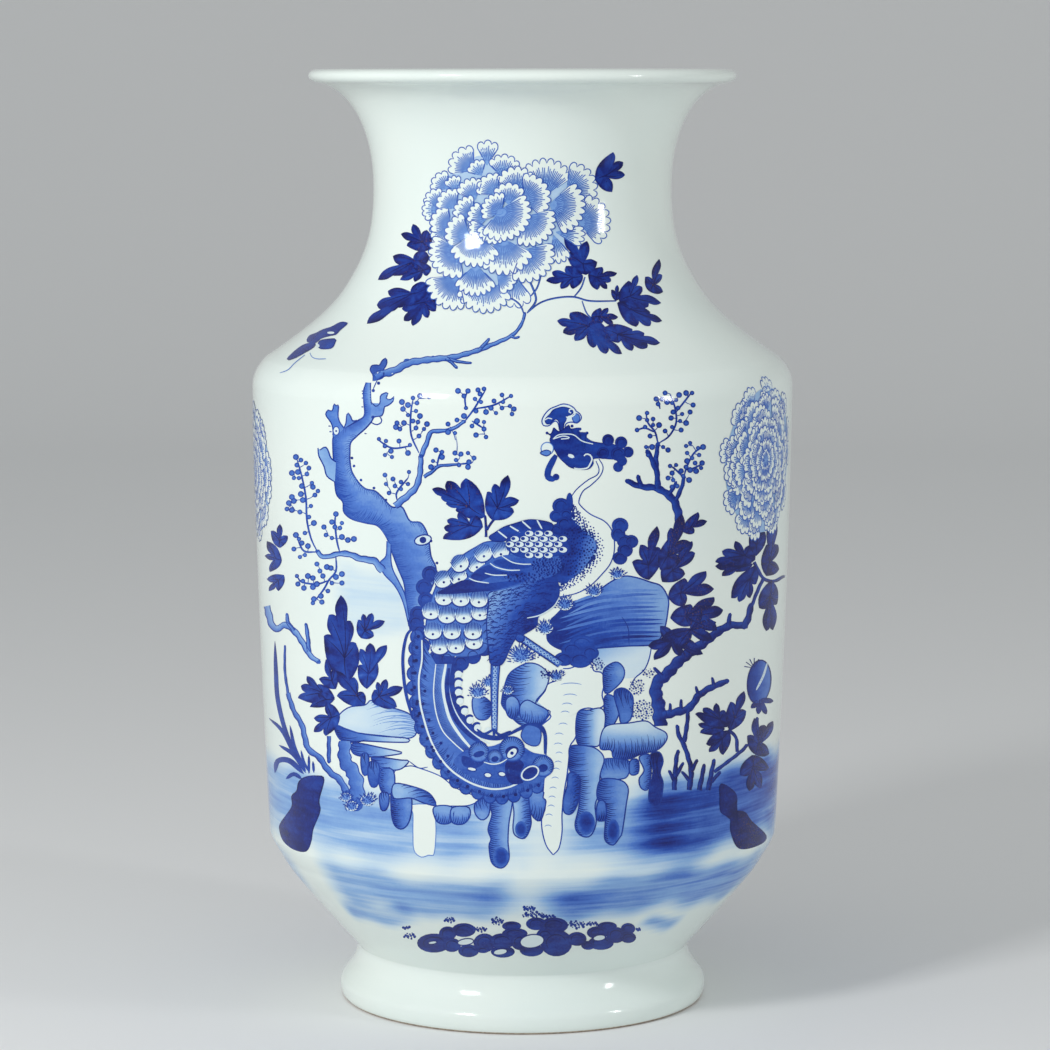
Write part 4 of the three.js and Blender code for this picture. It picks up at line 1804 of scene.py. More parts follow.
@dataclass(frozen=True)
class Prunus:
    """The old prunus trunk with its twigs and berries, in picture pixels.

    A limb's row holds its path, its first and last width and, unless it is dark, its cobalt.
    """

    left: tuple = xy(
        366.3, 382.5, 363.6, 391, 363.9, 402, 364.4, 415.5, 357, 421, 346, 427, 337, 430, 333.2, 438,
        333, 448, 334, 468, 335, 484, 337, 495, 343, 502, 344, 512, 352, 519, 366, 523, 378, 526, 387, 538,
        392, 552, 398, 568, 404, 583, 406, 600, 408, 616, 410, 630,
    )
    right: tuple = xy(
        370.5, 382.8, 370.5, 391.5, 371, 401.5, 374, 410, 372.6, 419.6, 366, 428, 357, 436, 350.6, 443,
        349.9, 453, 350, 462, 352, 472, 359, 483, 366, 489, 375, 491, 382, 497, 392, 507, 402, 507,
        410, 521, 421, 523, 428, 536, 431, 556, 436, 568, 434, 582, 426, 598, 418, 613, 411, 630,
    )
    stub: tuple = xy(
        333.2, 437, 332.8, 428, 330.7, 422, 326.1, 415.5, 326.5, 412, 329, 409.7, 331, 411.5, 333, 409.5,
        334, 404, 336.5, 406, 338.6, 405.5, 338.1, 415.5, 339.8, 422, 343.9, 428,
    )
    peak: tuple = xy(343.9, 428, 346, 423, 346.8, 415.5, 348.1, 413, 350.6, 416.3, 353, 421.3, 357, 420)
    fork: tuple = xy(
        372, 403, 376.3, 406.4, 380, 403, 380.4, 396.4, 382.9, 393.9, 387.9, 392.7, 386.2, 398.1,
        388.7, 399.7, 392, 398.9, 393.7, 396.4, 392.9, 401.4, 387.9, 405.5, 384.6, 406.8, 383.7, 411.3,
        382.1, 415.5, 378.8, 416.3, 372, 417,
    )
    curl: tuple = xy(370.5, 422.1, 376.3, 424.6, 380.8, 422.9, 381.7, 419.6, 379.6, 416.3)
    club: tuple = xy(
        373, 381, 373, 375, 370.3, 370.5, 371.5, 366, 376, 365, 379.4, 365.5, 382, 361, 385.8, 358.3,
        387, 362, 385.6, 366.5, 383, 370.5, 384, 375, 378, 380,
    )
    ticks: tuple = xy(
        361.8, 391, 362, 393.6, 361.8, 398, 361.6, 406.8, 328.6, 426, 329.6, 431.6, 364.6, 433.5,
    )
    knot: tuple = (
        xy(335, 482, 327, 476, 324, 466, 319, 456, 318, 448),
        xy(336, 462, 331, 458, 328, 450, 325, 447, 320, 450),
    )
    root: tuple = (
        xy(387, 541, 386, 556, 380, 563, 384, 574, 395, 586, 403, 602, 408, 622),
        xy(391, 545, 391, 560, 393, 570, 398, 580, 404, 592, 407, 604, 410, 624),
    )
    eye: tuple = (423, 540)
    humps: tuple = xy(407, 361, 433, 357.5, 463, 355.5)
    dots: tuple = xy(352, 458, 354, 466, 361, 480, 431, 541, 374, 488, 386, 500, 437, 563)
    limbs: tuple = (
        (xy(376, 377, 383, 373.5, 391, 372, 399.5, 368, 407, 363.8, 415, 361.6, 432, 359.4, 454, 357,
            479, 350, 489, 346, 511, 336, 521, 325, 525, 313), 7.4, 2.0, 0.5),
        (xy(479, 350, 484, 345, 489, 339), 3.2, 2.2, 0.5),
        (xy(511, 336, 515, 338, 519, 337), 2.2, 1.4, 0.5),
        (xy(446, 358, 452, 363, 457, 368), 3.0, 2.0, 0.5),
        (xy(448, 359, 460, 362, 471, 363), 2.6, 1.6, 0.5),
        (xy(395, 506, 406, 497, 416, 487, 420, 473, 421, 456), 6.5, 4.0, 0.46),
        (xy(421, 456, 427, 442, 431, 432, 440, 431, 452, 429, 465, 421), 4.4, 2.4, 0.48),
        (xy(383, 571, 374, 561, 362, 559, 348, 554, 338, 554, 324, 557, 317, 551), 7.0, 3.4, 0.42),
        (xy(424, 477, 433, 471, 439, 466, 450, 465, 460, 464), 3.0, 1.6, 0.5),
    )
    dark_limbs: tuple = (
        (xy(680, 522, 675, 503, 667, 494, 656, 488, 644, 487, 636, 485, 627, 481), 8.0, 4.4),
        (((641, 487), (638, 476)), 4.2, 3.0), (xy(658, 489, 657, 474, 656, 459, 658, 443), 5.0, 3.0),
        (xy(656, 470, 651, 458, 647, 451), 4.6, 3.6), (xy(676, 500, 682, 486, 684, 476), 3.6, 2.4),
        (xy(668, 495, 672, 490, 676, 482), 3.2, 2.0),
    )
    twigs: tuple = (
        xy(419, 453, 411, 434, 411, 412, 413, 400), xy(465, 421, 474, 409, 480, 399, 485, 391),
        xy(474, 409, 494, 405, 511, 396), xy(466, 409, 465, 398, 468, 391), ((472, 421), (483, 428)),
        xy(411, 446, 392, 448, 377, 439), xy(437, 466, 439, 457, 442, 450),
        xy(397, 500, 397, 492, 408, 478), ((460, 464), (472, 463)),
    )
    hanging: tuple = (
        xy(317, 551, 311, 538, 307, 520, 306, 498, 302, 477, 297, 459),
        xy(336, 557, 336, 571, 329, 580, 324, 589, 315, 601), xy(340, 553, 337, 541, 335, 523, 336, 513),
        xy(330, 580, 317, 584, 302, 582, 297, 576), xy(316, 552, 304, 551, 298, 540),
    )
    right_twigs: tuple = (
        xy(658, 444, 655, 432, 648, 423, 646, 414), xy(659, 443, 669, 436, 676, 423, 675, 408, 670, 394),
        xy(676, 412, 684, 402, 691, 393), ((660, 409), (658, 400)),
        xy(684, 476, 687, 466, 694, 453, 703, 447), xy(686, 470, 694, 468, 702, 464),
        xy(683, 477, 676, 470, 671, 466), xy(654, 432, 645, 428, 637, 430),
    )
    berries_left: tuple = xy(
        402, 402, 408, 405, 413, 398, 420, 396, 429, 397, 417, 403, 403, 409, 416, 411, 420, 416, 408, 415,
        413, 421, 418, 422, 427, 424, 424, 429, 416, 428, 419, 436, 397, 423, 404, 423, 396, 427, 400, 429,
        379, 439, 386, 441, 399, 441, 385, 446, 391, 451, 408, 453, 410, 445, 385, 455, 392, 457, 458, 391,
        468, 391, 478, 390, 484, 389, 480, 394, 475, 399, 464, 396, 466, 408, 481, 402, 476, 411, 486, 412,
        491, 408, 496, 413, 494, 401, 502, 408, 503, 402, 511, 396, 510, 406, 514, 409, 512, 414, 502, 395,
        464, 416, 457, 420, 448, 424, 477, 421, 484, 422, 472, 426, 484, 429, 476, 435, 486, 437, 448, 432,
        455, 433, 436, 450, 442, 452, 442, 457, 433, 461, 431, 467, 455, 453, 461, 454, 468, 453, 474, 458,
        469, 462, 468, 467, 459, 465, 456, 460, 385, 475, 393, 479, 409, 472, 401, 482, 386, 484, 395, 486,
        408, 484, 401, 489, 389, 493,
    )
    berries_hanging: tuple = xy(
        296, 457, 301, 460, 306, 463, 297, 465, 309, 468, 292, 473, 298, 472, 307, 474, 294, 478, 299, 478,
        312, 483, 302, 486, 313, 487, 318, 491, 301, 494, 315, 495, 292, 497, 289, 503, 294, 501, 303, 500,
        287, 509, 292, 510, 300, 512, 311, 506, 309, 517, 314, 523, 336, 514, 332, 522, 342, 523, 324, 527,
        335, 527, 340, 528, 326, 535, 332, 538, 342, 537, 348, 540, 354, 539, 296, 535, 299, 539, 294, 549,
        302, 543, 308, 546, 305, 533, 300, 557, 305, 555, 317, 564, 327, 567, 320, 571, 331, 568, 323, 576,
        313, 578, 308, 576, 297, 576, 303, 581, 298, 584, 304, 588, 317, 584, 313, 587, 332, 583, 336, 577,
        342, 574, 342, 583, 328, 591, 321, 596, 314, 599, 322, 602, 313, 603,
    )
    berries_right: tuple = xy(
        656, 399, 662, 399, 658, 404, 665, 393, 667, 402, 676, 400, 679, 395, 686, 393, 692, 393, 693, 405,
        672, 403, 673, 412, 682, 414, 690, 412, 678, 408, 671, 418, 680, 421, 686, 423, 672, 427, 681, 430,
        665, 431, 647, 413, 639, 418, 647, 420, 653, 419, 637, 430, 645, 427, 653, 425, 659, 425, 650, 436,
        646, 447, 652, 447, 648, 455, 663, 447, 668, 450, 686, 446, 690, 443, 698, 448, 703, 447, 687, 453,
        699, 455, 692, 458, 687, 461, 702, 463, 695, 463, 686, 467, 670, 466, 676, 465, 672, 473, 681, 471,
        690, 470, 696, 471, 701, 468, 683, 476, 673, 480, 668, 478, 689, 480, 672, 487, 677, 486,
    )

    def paint(self, painting: Painting) -> None:
        """Draws the trunk with its knots and hatching, then the limbs, the twigs and the berries.

        Args:
            painting: Where it is drawn.
        """
        wash(painting, self.left, self.right, 0.62, 0.38, 2, 0.8, 1.6, 2.6)
        wash(painting, *self.root, 0.5, 0.42, 5, 0.72, 1.2, 2.6)
        for outline, shade in ((self.stub, 0.5), (self.peak, 0.46), (self.fork, 0.42), (self.club, 0.62)):
            painting.patch(outline, shade, 5)
            painting.line(outline, 1.3, 0.78, 6, 0.2)
        wash(painting, *self.knot, 0.30, 0.36, 5, 0.76, 1.4, 2.4)
        painting.line(self.curl, 1.3, 0.76, 6, 0.3)
        painting.line(((377.5, 380), (375, 385), (373, 390)), 1.0, 0.74, 6, 0.3)
        painting.blobs([(378.6, 383.2), (373.3, 390.6), (373, 417.2)], 1.7, 0.82, 7, 8)
        painting.lash(self.ticks, np.asarray(self.ticks) + (2.6, 0.2), 1.3, 0.78, 6)
        painting.blobs(self.humps, [(3.4, 2.4), (2.2, 1.8), (2, 1.6)], 0.62, 5.5, 12)
        hatch(painting, self.left[1:4], 4, 2.0, 0.68, 3.5, 0.2, -1.0, 0.08)
        hatch(painting, self.left[9:18], 14, 1.7, 0.68, 3.5, 0.5, -1.0, 0.08)
        hatch(painting, self.left[16:], 11, 1.9, 0.66, 3.5, 0.3, -1.0, 0.08)
        hatch(painting, self.right[6:16], 6, 2.0, 0.62, 3.5, 0.6, 1.0, 0.05)
        hatch(painting, self.right[17:23], 6, 2.0, 0.62, 3.5, 0.6, 1.0, 0.05)
        hatch(painting, self.left[5:10], 7, 2.0, 0.66, 3.5, 0.4, -1.0)
        painting.patch(ring(*self.eye, 8.6, 5.0, -12), OFF_WHITE, 5, 0.8, 1.4)
        painting.patch(ring(336.3, 430.8, 3.1, 4.4), WHITE, 7, 0.74, 1.0)
        painting.blobs([self.eye, (336.3, 431)], [3.4, 1.0], 0.84, 8)
        painting.blobs(self.dots, 1.4, 0.82, 5)
        for number, (points, start, end, tone) in enumerate(self.limbs):
            limb(painting, points, start, end, tone, 6 + number * 0.3)
        for number, (points, start, end) in enumerate(self.dark_limbs):
            limb(painting, points, start, end, 0.80, 6 + number * 0.3, 0.9)
        for twigs, spots, tone in (
            (self.twigs, self.berries_left, 0.58),
            (self.hanging, self.berries_hanging, 0.55),
            (self.right_twigs, self.berries_right, 0.66),
        ):
            for twig in twigs:
                painting.line(twig, 1.9, tone + 0.14, 9, 0.5)
            berries(painting, spots, twigs, 9.5, 2.6, tone)


@dataclass(frozen=True)
class Rocks:
    """The garden rocks, in picture pixels.

    A stone's row holds the way it fades, its cobalt where the fade starts and ends, and its corners.
    """

    boulder: tuple = xy(
        548, 641, 550, 622, 555, 616, 570, 603, 592, 597, 602, 588, 614, 580, 625, 576, 638, 578, 650, 582,
        661, 586, 668, 598, 668, 610, 664, 630, 654, 644, 628, 646, 600, 648, 568, 651,
    )
    boulder_foot: tuple = xy(
        586, 646, 610, 646, 636, 645, 652, 643, 649, 659, 645, 670, 636, 677, 618, 678, 600, 672,
    )
    crack: tuple = xy(622, 617, 628, 628, 629, 645)
    clump: tuple = (
        (582, 644, 13, 9), (564, 659, 10, 7), (580, 660, 12, 8), (572, 650, 11, 8), (590, 653, 9, 7),
    )
    column_left: tuple = xy(
        562, 669.6, 559, 679, 548, 684, 545, 691, 537, 702, 541, 708, 551, 716, 543, 724, 540, 728,
        546, 738, 546, 754, 543, 796, 546, 800, 542, 814, 542, 829, 546, 845, 553, 854.8,
    )
    column_right: tuple = xy(
        563, 668.6, 571, 668, 584, 662, 591, 664, 594, 671, 602, 673, 604, 684, 602, 695, 604, 705,
        596, 709, 588, 708, 579, 711, 576, 721, 576, 736, 570, 746, 569, 757, 567, 775, 564, 793, 562, 814,
        562, 832, 559, 848, 553.3, 854.8,
    )
    marks: tuple = (
        (571, 683, 12), (570, 694, 8), (567, 703, 6), (565, 711, 5), (563, 723, 5), (559, 733, 5),
        (558, 743, 5), (559, 752, 4), (558, 761, 4), (556, 768, 4), (555, 777, 4), (553, 787, 4),
        (552, 796, 4), (551, 805, 4), (549, 814, 4), (548, 825, 4),
    )
    under_boulder: tuple = (
        (Fade.RIGHT, 0.62, 0.42, xy(603, 673, 607, 666, 617, 662, 624, 669, 623, 679, 614, 689, 605, 693)),
        (Fade.RIGHT, 0.6, 0.42, xy(605, 696, 613, 696, 620, 705, 619, 714, 613, 725, 605, 726, 604, 711)),
        (Fade.DOWN, 0.7, 0.5, xy(614, 693, 623, 688, 632, 695, 633, 707, 630, 720, 621, 723, 619, 714)),
        (Fade.RIGHT, 0.64, 0.05, xy(579, 711, 589, 710, 600, 708, 605, 714, 604, 729, 599, 745, 591, 746,
            579, 745, 576, 736, 576, 721)),
        (Fade.UP, 0.66, 0.06, xy(605, 727, 629, 723, 646, 721, 655, 727, 666, 733, 666, 741, 657, 750,
            641, 754, 629, 759, 614, 758, 611, 750, 600, 748)),
        (Fade.DOWN, 0.58, 0.4, xy(604, 759, 629, 761, 628, 775, 621, 779, 602, 779, 601, 768)),
        (Fade.LEFT, 0.66, 0.5, xy(630, 761, 638, 760, 638, 773, 630, 774)),
        (Fade.LEFT, 0.62, 0.4, xy(639, 757, 650, 755, 651, 771, 648, 789, 641, 788, 639, 779, 644, 770)),
        (Fade.DOWN, 0.88, 0.8, xy(650, 755, 659, 752, 663, 761, 660, 773, 663, 784, 659, 805, 650, 802,
            649, 791, 653, 771)),
        (Fade.RIGHT, 0.64, 0.2, xy(571, 746, 588, 746, 598, 750, 604, 759, 600, 775, 599, 793, 595, 805,
            596, 823, 590, 836, 580, 835, 575, 825, 579, 805, 579, 779, 570, 771, 569, 757)),
        (Fade.LEFT, 0.7, 0.56, xy(569, 773, 579, 776, 580, 789, 577, 805, 571, 814, 564, 812, 563, 800,
            567, 786)),
        (Fade.RIGHT, 0.64, 0.36, xy(602, 779, 620, 780, 628, 788, 626, 805, 622, 832, 619, 838, 613, 845,
            605, 840, 605, 825, 606, 805, 598, 800, 597, 789)),
        (Fade.UP, 0.66, 0.5, xy(598, 802, 605, 802, 606, 818, 601, 821, 596, 818)),
    )
    beside_column: tuple = (
        (Fade.RIGHT, 0.68, 0.12, xy(522, 665, 532, 663, 542, 667, 549, 676, 545, 690, 536, 701, 539, 708,
            550, 711, 547, 718, 540, 725, 531, 725, 519, 724, 503, 707, 502, 698, 505, 684, 510, 673)),
        (Fade.UP, 0.66, 0.34, xy(506, 700, 513, 696, 519, 702, 519, 712, 514, 719, 507, 714)),
        (Fade.UP, 0.62, 0.3, xy(520, 706, 527, 700, 536, 704, 548, 711, 545, 719, 538, 725, 529, 724,
            521, 718)),
        (Fade.RIGHT, 0.6, 0.3, xy(489, 802, 500, 800, 511, 798, 512, 805, 509, 823, 508, 841, 509, 859,
            502, 868, 492, 863, 489, 846, 491, 839, 488, 829, 492, 814)),
        (Fade.LEFT, 0.6, 0.24, xy(514, 798, 529, 793, 530, 811, 531, 825, 525, 838, 516, 836, 513, 829,
            514, 814)),
        (Fade.UP, 0.6, 0.42, xy(530, 793, 543, 791, 543, 798, 546, 802, 541, 820, 534, 818, 530, 809)),
        (Fade.DOWN, 0.58, 0.36, xy(476, 802, 489, 798, 489, 814, 482, 820, 475, 813)),
        (Fade.UP, 0.56, 0.34, xy(434, 807, 452, 807, 452, 821, 443, 824, 436, 820)),
        (Fade.UP, 0.56, 0.34, xy(452, 808, 468, 807, 470, 816, 463, 824, 452, 822)),
        (Fade.LEFT, 0.66, 0.4, xy(473, 698, 482, 696, 491, 703, 492, 711, 487, 719, 478, 719, 473, 711)),
    )
    plateau: tuple = (
        (Fade.LEFT, 0.2, 0.08, xy(340, 714, 350, 707, 365, 705, 371, 700, 377, 705, 397, 709, 412, 716,
            417, 730, 410, 738, 385, 736, 354, 732, 335, 724)),
        (Fade.RIGHT, 0.7, 0.12, xy(335, 725, 354, 732, 380, 736, 406, 738, 408, 742, 386, 742, 365, 741,
            342, 741)),
        (Fade.RIGHT, 0.6, 0.14, xy(354, 743, 383, 748, 401, 752, 399, 754, 374, 757, 354, 754)),
        (Fade.RIGHT, 0.6, 0.16, xy(372, 757, 401, 760, 409, 761, 401, 769, 390, 770, 379, 768)),
        (Fade.DOWN, 0.56, 0.66, xy(362, 754, 368, 754, 369, 766, 367, 775, 363, 774, 361, 764)),
        (Fade.DOWN, 0.6, 0.7, xy(370, 762, 378, 763, 380, 775, 377, 786, 371, 786, 368, 774)),
        (Fade.RIGHT, 0.66, 0.4, xy(381, 770, 392, 769, 395, 780, 392, 793, 383, 793, 379, 782)),
        (Fade.DOWN, 0.5, 0.6, xy(380, 794, 388, 793, 389, 802, 386, 810, 381, 809)),
        (Fade.RIGHT, 0.68, 0.4, xy(393, 790, 409, 792, 412, 806, 409, 822, 402, 829, 394, 824, 391, 806)),
        (Fade.LEFT, 0.62, 0.25, xy(394, 784, 411, 786, 429, 793, 436, 805, 424, 803, 411, 798, 394, 798)),
    )
    tongue: tuple = xy(
        395, 771, 409, 766, 419, 768, 440, 776, 456, 788, 478, 798, 470, 805, 452, 806, 435, 805, 429, 793,
        411, 786, 396, 784,
    )
    white_finger: tuple = xy(
        411, 805, 413, 814, 413, 832, 414, 850, 421, 857, 429, 855, 434, 854, 436, 832, 435, 814, 434, 805,
    )
    feet: tuple = ((586, 823, 9, 12), (613, 831, 6.5, 12), (501, 857, 8, 10), (521, 829, 6, 8))
    mossy: tuple = (
        ((617, 574), 8), ((594, 591), 9), ((565, 604), 10), ((545, 628), 10), ((521, 655), 14),
        ((478, 692), 10), ((489, 682), 8), ((368, 800), 9), ((352, 806), 8), ((346, 797), 7),
        ((508, 690), 7), ((556, 676), 8),
    )
    specks: tuple = (
        (637, 687, 8, 8, 34), (642, 710, 12, 10, 60), (648, 673, 6, 5, 14), (597, 664, 8, 6, 26),
        (533, 652, 12, 7, 34), (546, 674, 6, 5, 16),
    )

    def paint(self, painting: Painting) -> None:
        """Draws the boulder, the column, the stones on both sides, and the moss.

        Args:
            painting: Where it is drawn.
        """
        painting.patch(self.boulder_foot, graded((600, 646), 0.3, (612, 670), 0.1), 0, 0)
        painting.line(((652, 643), (649, 659), (644, 670), (635, 678), (630, 687)), 1.3, 0.74, 2)
        painting.patch(self.boulder, graded((575, 650), 0.84, (652, 590), 0.38), 1, 0.8, 1.5, (610, 618), 3.0)
        for number in range(13):
            drop, jog = 4.2 * number, 5 * math.sin(number * 2.3)
            left = 560 + 0.22 * abs(drop - 22) - jog
            top = 596 + drop + jog / 4
            sweep = ((left, 606 + drop), (592, top), (624 + jog, 591 + drop), (662 - jog, 590 + drop))
            shade = 0.46 + 0.024 * number + 0.09 * math.sin(number * 1.9)
            painting.line(sweep, 3.0, shade, 2.5 + 0.3 * number, 1.0)
        painting.line(self.crack, 1.0, 0.8, 7)
        clouds(painting, self.clump, 0.72, 9)
        wash(painting, self.column_left, self.column_right, 0.0, 0.0, 4, 0.72, 1.4, 2.6)
        turn = np.linspace(-2.6, -0.5, 5)
        for x, y, half in self.marks:
            painting.line(np.column_stack([x + half * np.cos(turn), y + 3 + 3 * np.sin(turn)]), 0.8, 0.44, 6)
        painting.patch(self.tongue, 0.0, 3, 0.7, 1.1)
        painting.patch(self.white_finger, 0.0, 3, 0.46, 1.0)
        painting.line(((409, 761), (419, 768), (428, 767)), 1.1, 0.72, 5)
        for stones in (self.under_boulder, self.beside_column, self.plateau):
            for number, (fade, dark, pale, corners) in enumerate(stones):
                stone(painting, fade, dark, pale, corners, 5 + number * 1.1)
        for x, y, wide, high in self.feet:
            painting.blobs([(x, y)], [(wide, high)],
                           lambda share: 0.82 - 0.22 * smooth(share, 0.3, 1.0), 21, 16)
        for centre, radius in self.mossy:
            moss(painting, centre, radius, int(radius * 5), 22, 0.78)
        speckles(painting, self.specks, 22)


@dataclass(frozen=True)
class Phoenix:
    """The phoenix on the rocks, in picture pixels.

    An eye's row holds its place and its tilt in degrees. Rows of four hold a place, half width and
    half height, and a head's row a place, a radius and the half width and half height of its heart.
    """

    breast: tuple = xy(
        599, 459, 603, 467, 600, 476, 591, 485, 583, 491, 579, 500, 580, 505, 590, 514, 604, 521, 611, 529,
        614, 539, 614, 552, 610, 564, 602, 574, 591, 585, 577, 593, 559, 597,
    )
    nape: tuple = xy(
        596, 461, 599, 469, 597, 475, 588, 480, 577, 489, 571, 497, 569, 505, 576, 527, 587, 536, 592, 545,
        591, 556, 583, 565, 575, 571, 566, 580, 556, 588,
    )
    speckle_out: tuple = xy(
        570, 500, 574, 515, 580, 523, 590, 528, 599, 534, 602, 543, 602, 555, 596, 565, 584, 576, 570, 584,
        560, 587,
    )
    speckle_in: tuple = xy(
        566, 500, 568, 512, 574, 526, 585, 535, 590, 545, 588, 556, 580, 566, 570, 574, 560, 580,
    )
    breast_dark: tuple = xy(
        556, 527, 562, 520, 571, 518, 579, 527, 592, 538, 596, 548, 588, 562, 576, 576, 560, 583, 552, 572,
        556, 556, 570, 548, 562, 540, 553, 534,
    )
    scales_out: tuple = xy(
        506, 546, 509, 538, 518, 532, 531, 529, 548, 530, 560, 536, 569, 545, 570, 552, 553, 556, 537, 557,
        522, 557, 512, 553,
    )
    crown: tuple = xy(
        489, 537, 496, 532, 504, 527, 513, 524, 527, 520, 537, 520, 548, 522, 553, 525, 550, 532, 540, 530,
        522, 531, 509, 538, 504, 541, 494, 541,
    )
    crown_gaps: tuple = (
        ((498, 531), (507, 538)), ((510, 526), (520, 532)), ((522, 521), (531, 529)),
        ((537, 520), (542, 529)),
    )
    back: tuple = xy(
        500, 541, 486, 542, 476, 547, 463, 555, 454, 564, 449, 570, 440, 579, 435, 589, 431, 601, 428, 615,
        426, 626, 429, 640, 434, 650,
    )
    belly: tuple = xy(
        560, 555, 545, 572, 520, 582, 500, 588, 490, 594, 489, 604, 487, 617, 487, 632, 486, 650, 470, 656,
        450, 656, 440, 655,
    )
    long_feathers: tuple = (
        xy(493, 562, 504, 559, 514, 564, 531, 566, 521, 569, 504, 568),
        xy(471, 576, 479, 569, 489, 565, 496, 569, 508, 572, 522, 571, 527, 576, 514, 576, 496, 575,
            481, 581, 474, 580),
        xy(437, 593, 448, 587, 463, 580, 474, 581, 486, 583, 507, 581, 527, 578, 531, 578, 514, 585,
            494, 590, 474, 592, 450, 594),
    )
    wing_dark: tuple = xy(
        470, 575, 488, 562, 505, 555, 530, 556, 556, 556, 562, 566, 552, 576, 528, 582, 500, 590, 470, 592,
        452, 592,
    )
    long_hearts: tuple = xy(512, 565, 496, 573, 482, 586)
    light_lines: tuple = (
        xy(502, 556, 512, 562, 522, 564, 531, 564), xy(490, 563, 496, 567, 508, 570, 520, 570),
        xy(485, 573, 494, 575, 507, 575), xy(469, 578, 476, 581, 489, 583),
    )
    thigh: tuple = xy(
        489, 593, 507, 588, 522, 583, 540, 577, 553, 576, 558, 584, 559, 594, 554, 604, 544, 612, 538, 617,
        536, 626, 524, 634, 516, 638, 510, 648, 502, 664, 491, 664, 489, 652, 487, 633, 487, 617, 489, 604,
    )
    eyes: tuple = (
        (440, 648, 0), (456, 647, 0), (474, 643, 0), (433, 633, 0), (452, 633, 0), (473, 633, 0),
        (431, 613, 0), (447, 617, 0), (464, 617, 0), (480, 614, 0), (444, 599, 0), (461, 600, 0),
        (479, 601, 0), (444, 581, -25), (459, 578, -25), (477, 566, -20), (461, 565, -30), (484, 555, -25),
        (501, 553, -20),
    )
    tufts: tuple = xy(
        437, 658, 447, 659, 484, 648, 473, 656, 461, 663, 422, 646, 420, 632, 430, 574, 424, 587, 426, 600,
        418, 614, 416, 623,
    )
    cap: tuple = xy(
        550, 441, 551, 436, 547, 433, 551, 434, 554, 428, 557, 431, 561, 431, 569, 425, 570, 429, 579, 428,
        577, 432, 587, 433, 585, 436, 591, 441, 600, 443, 612, 444, 622, 450, 622, 458, 612, 459, 600, 458,
        593, 459, 593, 464, 588, 469, 578, 469, 570, 467, 565, 463, 559, 457, 556, 452,
    )
    crest: tuple = xy(
        542, 420, 543, 425, 547, 426, 550, 425, 553, 422, 556, 421, 558, 423, 559, 427, 560, 431, 565, 431,
        565, 426, 567, 423, 572, 422, 577, 423, 581, 419, 581, 416, 579, 413, 576, 411, 574, 408, 569, 405,
        563, 404, 557, 406, 550, 409, 545, 414,
    )
    crest_heart: tuple = xy(
        545, 421, 546, 418, 550, 414, 553, 410, 558, 408, 563, 407, 568, 408, 572, 410, 573, 413, 570, 415,
        567, 416, 566, 420, 564, 424, 563, 430, 560, 430, 559, 422, 556, 419, 553, 420, 551, 423, 547, 424,
    )
    crest_curl: tuple = xy(566, 417, 571, 417, 575, 414, 574, 410, 570, 409, 569, 412, 571, 413)
    spikes: tuple = xy(547, 433, 554, 429, 572, 426, 580, 429, 587, 433)
    wattle: tuple = xy(556, 455, 551, 464, 548, 471, 548, 477, 553, 479, 556, 476)
    cap_lines: tuple = (
        xy(553, 439, 558, 435, 566, 434, 574, 435, 582, 441, 593, 444),
        xy(553, 439, 563, 436, 570, 438, 561, 439),
    )
    ear: tuple = xy(584, 456, 586, 454, 590, 455, 592, 459, 590, 464, 587, 468, 579, 469, 574, 468)
    curls: tuple = (
        (618, 467, 5, 5), (622, 461, 5, 5), (603, 453, 6, 6), (608, 440, 6, 6), (628, 452, 5.5, 5.5),
        (618, 454, 7.5, 7), (621, 442.5, 6.2, 6.2),
    )
    bill: tuple = xy(540, 453, 546, 450, 551, 452, 547, 456)
    nape_tuft: tuple = (
        (569.5, 502, 3.2, 8.5), (561, 506, 8, 7.4), (566, 515, 6, 5.5), (556, 516, 6, 5.6),
        (564, 524, 7, 6.6), (556, 530, 6, 5),
    )
    breast_tuft: tuple = (
        (620, 558, 6.5, 6), (631, 541.5, 6.5, 6), (625, 550, 7, 6.5), (624, 541, 6.5, 6),
        (618, 534, 6.5, 7), (620, 525.5, 7.5, 7),
    )
    quill: tuple = xy(415, 627, 407, 635, 403, 656, 404, 679, 407, 698, 413, 719)
    tail_edge: tuple = xy(
        415, 632, 411, 646, 412, 662, 410, 673, 412, 687, 411, 698, 413, 711, 414, 721, 418, 733, 422, 745,
        430, 754, 437, 763, 444, 773, 452, 782, 463, 788, 473, 792, 484, 796, 497, 798, 510, 795, 523, 792,
        532, 788, 540, 785,
    )
    tail_white: tuple = xy(
        422, 640, 422, 660, 419, 679, 420, 701, 424, 719, 430, 738, 438, 754, 449, 768, 462, 778, 476, 785,
        493, 789, 509, 787, 524, 780, 535, 774, 540, 768,
    )
    tail_middle: tuple = xy(
        436, 664, 434, 684, 434, 698, 437, 716, 443, 731, 453, 742, 462, 750, 474, 760, 492, 766, 512, 768,
        530, 762,
    )
    tail_stripe: tuple = xy(446, 664, 443, 684, 445, 701, 450, 719, 460, 735, 470, 747)
    tail_inner: tuple = xy(454, 664, 452, 684, 455, 701, 462, 716, 473, 729, 484, 736, 498, 738, 508, 735)
    comb_end: tuple = xy(508, 735, 519, 729, 529, 725, 540, 726, 545, 735, 545, 754)
    dark_band: tuple = xy(449, 668, 447, 690, 451, 709, 460, 725, 474, 738, 486, 745)
    tail_dots: tuple = xy(
        425, 676, 425, 691, 423, 704, 429, 720, 433, 733, 441, 743, 448, 756, 414, 661, 413, 673, 412, 690,
        417, 704, 418, 716, 432, 747, 455, 764, 464, 771,
    )
